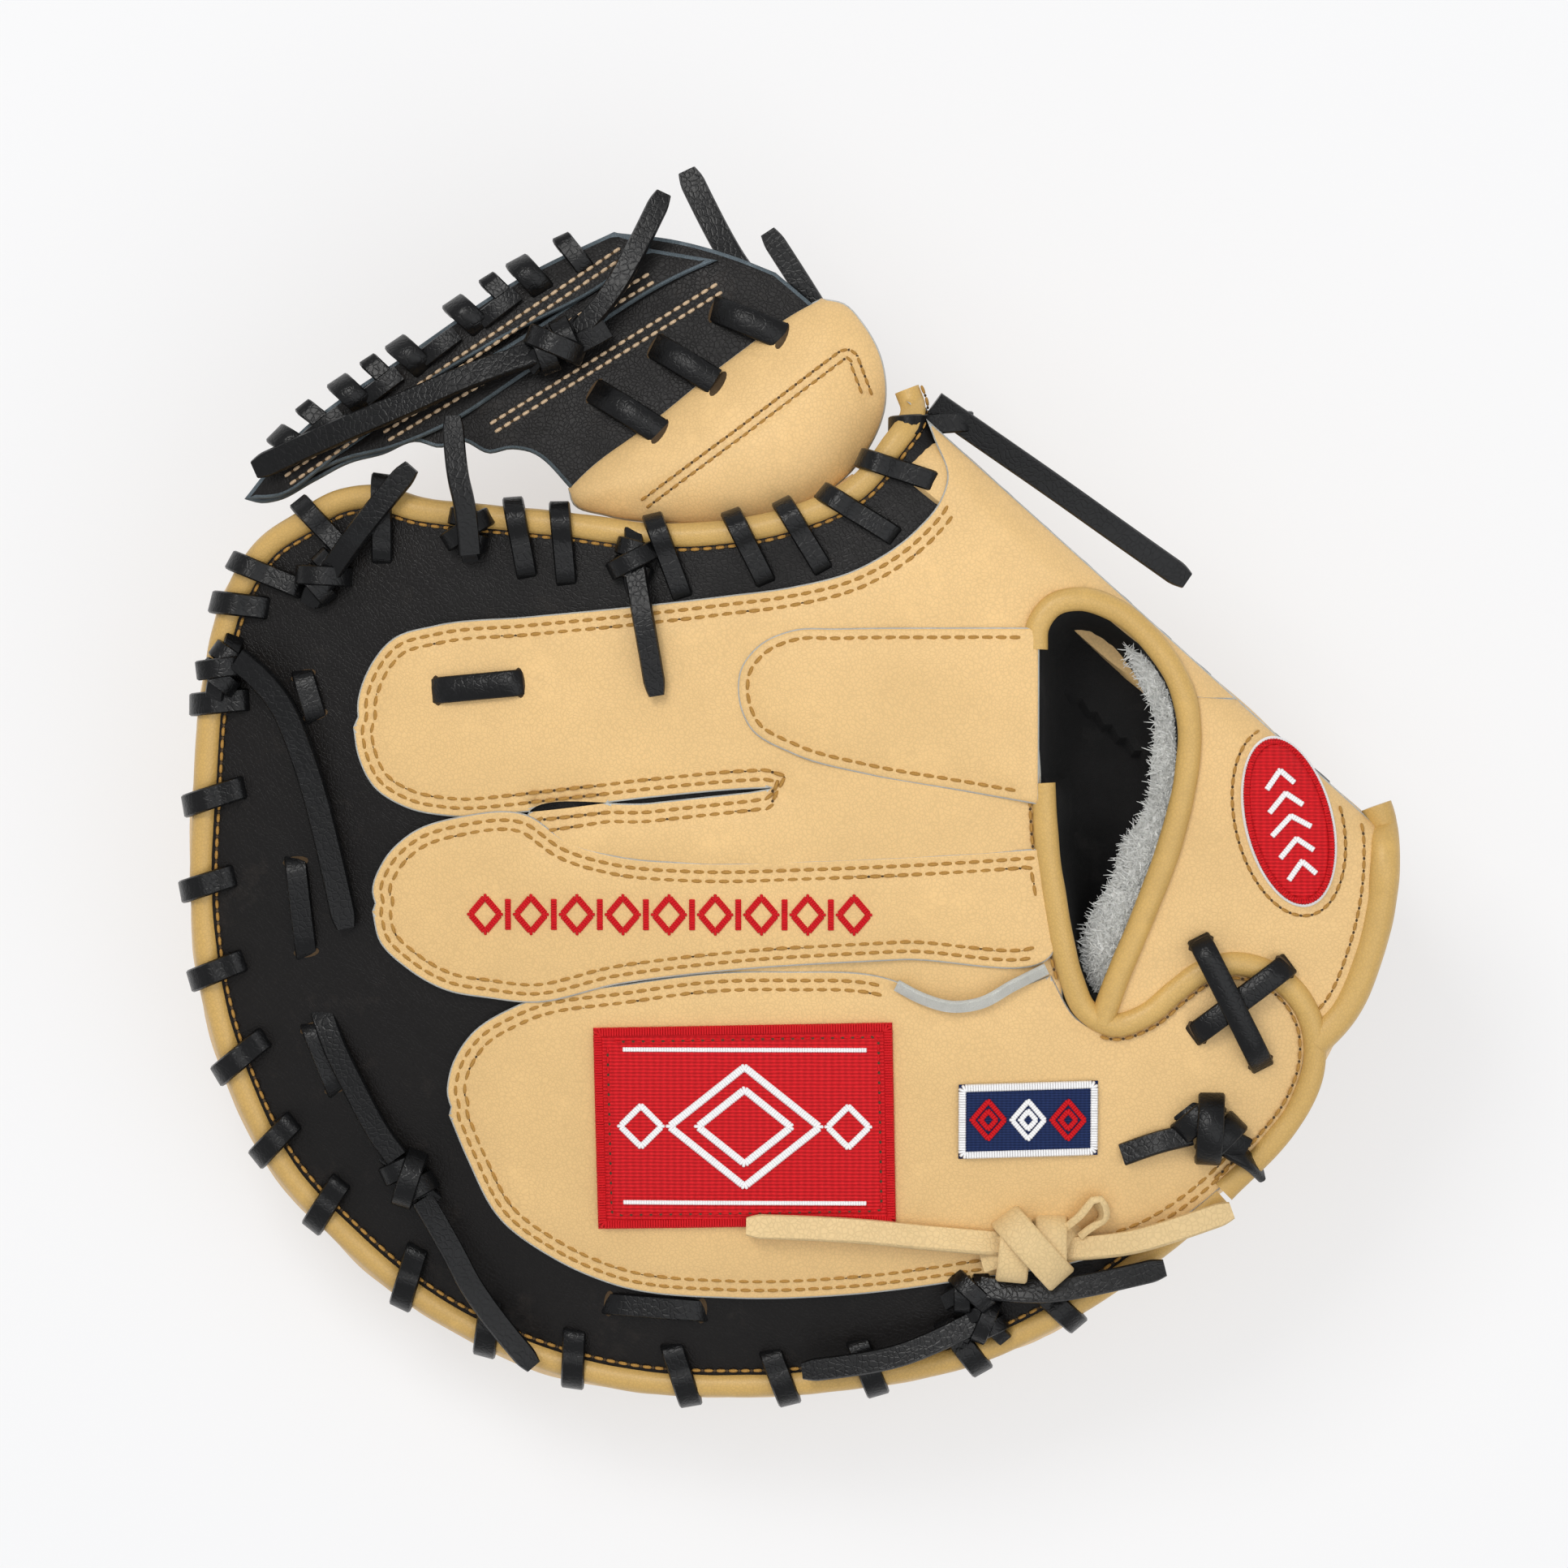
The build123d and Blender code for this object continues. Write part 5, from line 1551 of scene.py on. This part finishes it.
class MITT_OT_thumb(MakePiece, bpy.types.Operator):
    """Make the thumb's cover, its seam, binding and laces"""

    bl_idname = "mitt.thumb"
    bl_label = "Thumb"

    def execute(self, context):
        def section(along):
            top_at = ridge(along, -12)
            top = float(back_z(*top_at)) + 1.6
            dip = DIP_DEPTH * math.exp(-(((along - DIP_MIDDLE) / DIP_REACH) ** 4))
            roof = [(-3.3, top - 14), (-3.5, top - 8), (-4.6, top - 4.4), (-7.5, top - 1.6),
                    (-12, top - 0.4 - dip), (-16.8, top - 0.8 - dip),
                    (-17.2, top - 5 - dip), (-17.0, 92 - dip * 0.7)]
            return curve([*THUMB_WALL, *roof], 2.6, closed=True)

        crotch_end = THUMB_FROM + np.array((0.0, 0.7, 2.0, 4.0, 7.0, 10.0))
        heel_end = THUMB_TO - np.array((4.0, 2.0, 0.8, 0.0))
        stations = np.concatenate([crotch_end, np.arange(THUMB_FROM + 13, THUMB_TO - 5, 3.0), heel_end])
        count = len(section(100.0))
        rings = []
        for along in stations:
            shape = section(along)
            gone = np.linspace(0, len(shape), count, endpoint=False)
            whole = np.vstack([shape, shape[:1]])
            shape = np.stack([np.interp(gone, np.arange(len(whole)), whole[:, k]) for k in (0, 1)], axis=1)
            before = np.clip((THUMB_FROM + 10 - along) / 10, 0, 1)
            after = np.clip((along - THUMB_TO + 4) / 4, 0, 1)
            middle = np.array((-14.0, 52.0))
            rounded, blunt = math.sqrt(max(0.0, 1 - before**2)), math.sqrt(max(0.0, 1 - after**2))
            shrink = (rounded * 0.5 + 0.5) * (blunt * 0.16 + 0.84)
            shape = middle + (shape - middle) * (shrink, 0.5 + 0.5 * shrink)
            shape[:, 1] = np.maximum(shape[:, 1], 0.3)
            flat = RIDGE_START + ALONG * along + OUTWARD * shape[:, :1]
            rings.append(np.column_stack([flat, shape[:, 1]]))
        places = np.vstack(rings)
        bulge = np.array([noise.noise(Vector(p) / 21.0) for p in places])
        places[:, :2] += OUTWARD * (bulge * 0.9)[:, None] * (places[:, 2:] > 6)
        stock = Stock()
        stock.add(places, joined_rings(len(stations), count))
        for ring, turned in ((rings[0], False), (rings[-1], True)):
            centre = ring.mean(0)
            fan = [(j, (j + 1) % count, count) for j in range(count)]
            stock.add(np.vstack([ring, centre]), [f[::-1] for f in fan] if not turned else fan)
        made = stock.piece("thumb_cover", ["tan_hide"], THUMB,
                           ["thumb_back", "thumb_palm", "thumb_padding"])
        # Rolled binding along the seam low on the outer face, with its whip laces

        def wall(z):
            return float(np.interp(z, [20, 44, 66], [-8, -4.6, -3.4]))

        spots = np.arange(THUMB_FROM + 4, THUMB_TO - 3, 1.5)
        line = [ridge(along, wall(SEAM_HEIGHT) + 0.2, SEAM_HEIGHT) for along in spots]
        stock = Stock()
        turn = np.linspace(0, 2 * math.pi, 12, endpoint=False)
        ring = np.array([(*(OUTWARD * 1.9 * math.cos(t)), 2.6 * math.sin(t)) for t in turn])
        faces = joined_rings(len(line), 12)
        faces += [tuple(range(12))[::-1], tuple((len(line) - 1) * 12 + j for j in range(12))]
        stock.add(np.vstack([place + ring for place in line]), faces)
        stock.piece("thumb_roll", ["binding_hide"], THUMB, ["thumb_binding"])
        stock = Stock()
        for along in np.arange(THUMB_FROM + 14, THUMB_TO - 8, 13):
            points = [ridge(along + lean, wall(z) + proud, z) for lean, z, proud in THUMB_LOOP]
            arc_ribbon(stock, points, (*ALONG, 0.0), 5.4, 1.9)
        stock.piece("thumb_loops", ["black_rawhide"], THUMB, ["thumb_lace"])
        # Mouth of the thumb stall at the heel end, closed inside by a near-black disc of painted shade
        stock = Stock()
        turn = np.linspace(0, 2 * math.pi, 28, endpoint=False)
        rim = np.column_stack([5.2 * np.cos(turn), 15.5 * np.sin(turn)])
        rings = []
        for along, grow in ((-9, 0.86), (0.2, 0.92), (1.2, 1.0), (0.9, 1.14), (-0.6, 1.2)):
            rings.append([ridge(THUMB_TO + along, -13.5 + a * grow, 54 + b * grow) for a, b in rim])
        stock.add(np.vstack(rings), joined_rings(len(rings), 28))
        # Near-black cap over the inner ring: painted shade inside the stall
        stock.add(rings[0], [tuple(range(28))], 1)
        stock.piece("thumb_stall_mouth", ["binding_hide", "lining_suede"], THUMB,
                    ["thumb_stall"])
        return {"FINISHED"}


# Places of the web's laces: loops and turns on its lip, the flat runs between them, and the seam's loops
LIP_LOOPS = [(-119, 91), (-104, 103), (-90, 112.5), (-76, 122), (-61, 131)]
LIP_TURNS = [(-111.5, 97), (-97, 108), (-68, 127.5), (-50, 137)]
LIP_RUNS = [((-116, 90.5), (-107, 97.5)), ((-101, 101), (-93, 107)), ((-87, 110.5), (-79, 116.5)),
            ((-73, 119.5), (-64.5, 126))]
SEAM_LOOPS = [((-17.5, 122.5), (0.5, 115.2)), ((-31.8, 113.8), (-15, 103.5)), ((-46.5, 103), (-29, 92))]


class MITT_OT_web(MakePiece, bpy.types.Operator):
    """Make the web: its layers, seams, lip lacing and puffed gusset"""

    bl_idname = "mitt.web"
    bl_label = "Web"

    def execute(self, context):
        base = Hide(outline(*WEB_PLAN), over(web_z, 0.2), 2.4, 0.6, ripple=0.9, seed=51, lip=0.9)
        names = ["black_hide", "black_edge", "web_thread", "needle_hole"]
        stock = Stock()
        base.cut(stock)
        stock.piece("web_ground", names, WEB, ["web_panel"])
        stock = Stock()
        second = Hide(outline(*WEB_SECOND), over(web_z, 2.0), 1.9, 0.7, puff=0.5, ripple=0.5, seed=52,
                      lip=0.9)
        first = Hide(outline(*WEB_FIRST), over(web_z, 3.8), 2.0, 0.7, puff=0.8, ripple=0.5, seed=53, lip=0.9)
        second.cut(stock)
        first.cut(stock)
        rows = ((first, (-120, 80.2), (-38, 135.2)), (second, (-96, 90.6), (-31, 129)),
                (base, (-70, 92.5), (-13, 127.5)))
        for hide, start, end in rows:
            for shift in (0.0, 2.3):
                line = evenly(np.array([start, end], float), 2.0)
                line = line - outward_of(line, False) * shift
                stitches(stock, line, hide.top, 2.6, 2.0, 0.85, finish=2, hole_shade_finish=3)
        stock.piece("web_layers", names, WEB, ["web_strips"])
        # Lacing along the lip: arched loops with flat runs between them
        stock = Stock()
        lip = curve(WEB_PLAN[-1] + [WEB_PLAN[0][0]], 1.0)
        out = outward_of(lip, False)
        out = out * np.sign(np.dot(out[len(out) // 2], (-0.57, 0.82)))
        for spots, wide, proud in ((LIP_LOOPS, 6.0, (7.6, 8.2)), (LIP_TURNS, 4.6, (6.0, 5.6))):
            for spot in spots:
                at = int(np.argmin(np.hypot(*(lip - spot).T)))
                way, along = out[at], np.array((-out[at][1], out[at][0]))
                shape = [(-7, 2.5), (-6, 4.6), (-3, proud[0]), (0.5, proud[1]), (3.2, 5.0), (3.4, 0.5),
                         (1.8, -3.5)]
                level = float(web_z(*lip[at]))
                points = [(*(lip[at] + way * a + along * (a + 5) * 0.25), level + b) for a, b in shape]
                arc_ribbon(stock, points, (*along, 0.0), wide, 2.0)
        for run in LIP_RUNS:
            flat = evenly(np.array(run, float), 1.2)
            bow = 5.3 + 1.0 * np.sin(np.linspace(0, math.pi, len(flat)))
            path = np.column_stack([flat, web_z(*flat.T) + bow])
            side = np.array((0.57, -0.82, 0.1))
            ribbon(stock, path, side, 4.4, 1.8)
        stock.piece("lip_laces", ["black_rawhide"], WEB, ["web_lip_lace"])
        # Puffed gusset at the crotch with its double seam
        stock = Stock()
        gusset = Hide(outline(*GUSSET), over(web_z, 0.6), 3.0, 1.4, puff=6.0, spread=9, ripple=0.6, seed=55)
        crease = evenly(np.array(GUSSET_SEAM, float), 1.4)

        def sunk(places):
            return -0.7 * np.exp(-((distance(places, crease, closed=False) / 1.6) ** 2))

        def height(places):
            return gusset.top(places, sunk)

        gusset.cut(stock, spacing=1.8, extra=sunk)
        for shift in (-1.1, 1.1):
            line = crease + outward_of(crease, False) * shift
            stitches(stock, line, height, 2.6, 2.0, 0.75, finish=2, hole_shade_finish=3)
        made = stock.piece("gusset_puff", ["tan_hide", "raw_edge", "thread", "needle_hole"], WEB,
                           ["web_gusset"])
        stock = Stock()

        def ground(x, y):
            places = np.column_stack([x, y])
            low = base.top(places)
            return np.where(inside(places, gusset.rim), np.maximum(low, height(places)), low)

        for start, end in SEAM_LOOPS:
            flat = evenly(np.array([start, end], float), 1.0)
            share = np.linspace(0, 1, len(flat))
            rise = 3.2 * np.sin(share * math.pi) ** 0.7 - 2.2 * (np.cos(share * math.pi) ** 8)
            path = np.column_stack([flat, ground(*flat.T) + rise])
            run = np.subtract(end, start) / math.dist(start, end)
            ribbon(stock, curve(path[::3], 1.0), (-run[1], run[0], 0.0), 6.6, 2.2)
            for spot in (flat[1], flat[-2]):
                lace_hole_shade(stock, spot, (-run[1], run[0]), ground, 1, 7, 2.4)
        stock.piece("web_seam_loops", ["black_rawhide", "needle_hole"], WEB, ["web_seam_lace"])
        return {"FINISHED"}


def surface_lace(stock, start, end, surface, wide=5.4, rise=1.3, ends=True):
    """A short run of lace that lies on the leather and dives into it at both ends."""
    flat = evenly(np.array([start, end], float), 1.0)
    share = np.linspace(0, 1, len(flat))
    up = rise - (rise + 1.6) * (np.abs(2 * share - 1) ** 7)
    path = np.column_stack([flat, surface(flat[:, 0], flat[:, 1]) + up])
    run = flat[-1] - flat[0]
    run /= np.linalg.norm(run)
    ribbon(stock, path, (-run[1], run[0], 0.0), wide, 1.9)
    if ends:
        for spot in (flat[1], flat[-2]):
            lace_hole_shade(stock, spot, (-run[1], run[0]), surface, 1, wide + 1.0, 2.6)


class MITT_OT_surface_laces(MakePiece, bpy.types.Operator):
    """Make the short runs of lace that show on the shell, the index panel and the tab"""

    bl_idname = "mitt.surface_laces"
    bl_label = "Surface laces"

    def execute(self, context):
        stock = Stock()
        for start, end in (((-116.5, 35), (-113, 23.5)), ((-118.5, -10), (-115.8, -34)),
                           ((-115, -50.5), (-108.5, -67)),
                           ((-43.5, -118.5), (-19, -120.2))):
            surface_lace(stock, start, end, surface_of(HIDES["shell"]))
        points = [(-112.5, -46.5), (-109.5, -55), (-104, -66.5), (-98, -77.5), (-94, -83)]
        flat = curve(points, 1.1)
        share = np.linspace(0, 1, len(flat))
        path = np.column_stack([flat, back_z(*flat.T) + 1.3 + 2.4 * share - 3.2 * (1 - share) ** 10])
        ribbon(stock, path, (0.85, 0.45, 0.15), 5.8, 2.0)
        stock.piece("shell_runs", ["black_rawhide", "needle_hole"], FINGER, ["shell_lace"])
        stock = Stock()
        surface_lace(stock, (-84.5, 30.2), (-62.5, 32.2), surface_of(HIDES["hand_back"]), 6.4)
        stock.piece("index_slot_run", ["black_rawhide", "needle_hole"], FINGER,
                    ["index_slot_lace"])
        stock = Stock()
        surface_lace(stock, (98.5, -52.5), (121, -35.5), over(hide_z, 4.4), 5.8, 2.0)
        stock.piece("tab_run_under", ["black_rawhide", "needle_hole"], FINGER,
                    ["wrist_lace_under"])
        stock = Stock()
        surface_lace(stock, (99.5, -29.5), (115, -60), over(hide_z, 5.4), 5.8, 3.6)
        stock.piece("tab_run_over", ["black_rawhide", "needle_hole"], FINGER,
                    ["wrist_lace_over"])
        return {"FINISHED"}


# name, node, place, size, turn in degrees, base lift, dome, body, whether the lace is tan
KNOTS = [
    ("rim_knot_turns", "rim_knot", (-135.5, 36), 12, 60, 2.0, back_z, FINGER, False),
    ("lower_shell_turns", "lower_shell_knot", (-91, -88), 13, -55, 0.6, back_z, FINGER, False),
    ("web_side_turns", "web_side_knot", (-76, 69), 11.5, 85, 1.6, back_z, FINGER, False),
    ("index_tip_turns", "index_tip_knot", (-111, 58), 12, 50, 0.6, back_z, FINGER, False),
    ("notch_turns", "notch_knot", (-36, 61.5), 11.5, 80, 0.6, back_z, FINGER, False),
    ("web_turns", "web_knot", (-55, 113.5), 13, 30, 4.4, web_z, WEB, False),
    ("heel_upper_turns", "heel_knot_upper", (45.5, -115), 11, 10, 1.0, back_z, FINGER, False),
    ("heel_lower_turns", "heel_knot_lower", (49, -122), 10, -60, 1.4, back_z, FINGER, False),
    ("wrist_turns", "wrist_knot", (102.5, -75), 16, -40, 2.8, back_z, FINGER, False),
    ("tan_turns", "tan_knot", (60, -104), 20, 5, 3.2, back_z, FINGER, True),
]

# Short ends beside the knots, with their height off the leather
TAN_EYE = [(66, -101, 1), (70.5, -97, 3.0), (75.5, -92.5, 3.4), (77, -96, 2.8), (72, -101, 1.6)]
WRIST_ENDS = [((98, -76.5, 3), (90, -78.5, 3.4), (81.5, -81.5, 2.2)),
              ((106, -79, 3.0), (110.5, -82, 3.6), (115, -86, -1.5))]
WEB_END = [(-50, 113.5, 6), (-46, 115.5, 6.4), (-42.5, 117.5, 6.0)]


def tie(stock, place, size, turn, base):
    """An overhand knot of flat lace: two turns side by side, and one laid over them."""
    angle = math.radians(turn)
    run, side = np.array((math.cos(angle), math.sin(angle))), np.array((-math.sin(angle), math.cos(angle)))
    half, wide = size * 0.36, size * 0.38

    def turns(shift, high, span, slant, breadth):
        points = []
        for t in np.radians((-35, -5, 30, 60, 90, 120, 150, 185, 215)):
            across, up = math.cos(t) * span, math.sin(t) * high
            flat = np.array(place) + side * across + run * (shift + slant * across)
            points.append((*flat, base + 1.0 + up))
        way = run - side * slant
        arc_ribbon(stock, points, (*way, 0.0), breadth, 1.9, step=0.9)

    turns(-half * 0.62, size * 0.3, half, 0.18, wide)
    turns(half * 0.62, size * 0.3, half * 0.95, 0.1, wide)
    turns(0.0, size * 0.44, half * 1.12, -0.75, wide * 1.05)
    shape = [(-size * 0.62, -1.5, 0.4), (-size * 0.4, -0.5, 2.4), (0, 0.3, size * 0.22),
             (size * 0.4, 0.8, 2.4),
             (size * 0.62, 1.5, 0.4)]
    points = [(*(np.array(place) + run * a + side * b), base + z) for a, b, z in shape]
    arc_ribbon(stock, points, (*side, 0.0), wide, 1.8, step=0.9)


class MITT_OT_knots(MakePiece, bpy.types.Operator):
    """Make the knots that tie the laces off"""

    bl_idname = "mitt.knots"
    bl_label = "Knots"

    def execute(self, context):
        for name, node_name, place, size, turn, lift, surface, body, tan in KNOTS:
            stock = Stock()
            base = float(surface(*place)) + lift
            tie(stock, place, size, turn, base)
            if tan:
                points = [(x, y, float(back_z(x, y)) + 2.6 + z) for x, y, z in TAN_EYE]
                arc_ribbon(stock, points, (0.3, 0.3, 1.0), 4.6, 1.8)
            if node_name == "wrist_knot":
                for shape in WRIST_ENDS:
                    points = [(x, y, float(hide_z(x, y)) + 2.4 + z) for x, y, z in shape]
                    arc_ribbon(stock, points, (0.35, -0.9, 0.2), 5.4, 1.9)
            if node_name == "web_knot":
                points = [(x, y, float(web_z(x, y)) + z) for x, y, z in WEB_END]
                arc_ribbon(stock, points, (-0.4, 0.9, 0.1), 5.2, 1.9)
            finish, slot = ("tan_rawhide", "tan_lace") if tan else ("black_rawhide", "black_lace")
            stock.piece(name, [finish], body, [node_name])
        return {"FINISHED"}


class MITT_PT_pieces(bpy.types.Panel):
    """Lists the mitt's settings and the operators that make its pieces"""

    bl_label = "Catcher's Mitt"
    bl_space_type = "VIEW_3D"
    bl_region_type = "UI"
    bl_category = "Mitt"

    def draw(self, context):
        for name in MittSettings.__annotations__:
            self.layout.prop(context.scene.mitt, name)
        for operator in OPERATORS:
            self.layout.operator(operator.bl_idname)


OPERATORS = (
    MITT_OT_studio, MITT_OT_lace_ends, MITT_OT_palm, MITT_OT_shell, MITT_OT_rim, MITT_OT_back_panels,
    MITT_OT_opening, MITT_OT_wool, MITT_OT_strap, MITT_OT_patches, MITT_OT_thumb, MITT_OT_web,
    MITT_OT_rim_laces,
    MITT_OT_surface_laces, MITT_OT_knots,
)
CLASSES = (MittSettings, *OPERATORS, MITT_PT_pieces)


def register():
    for made in CLASSES:
        bpy.utils.register_class(made)
    bpy.types.Scene.mitt = PointerProperty(type=MittSettings)


def unregister():
    del bpy.types.Scene.mitt
    for made in reversed(CLASSES):
        bpy.utils.unregister_class(made)


def main():
    register()
    for operator in OPERATORS:
        group_name, name = operator.bl_idname.split(".")
        getattr(getattr(bpy.ops, group_name), name)()


if __name__ == "__main__":
    main()
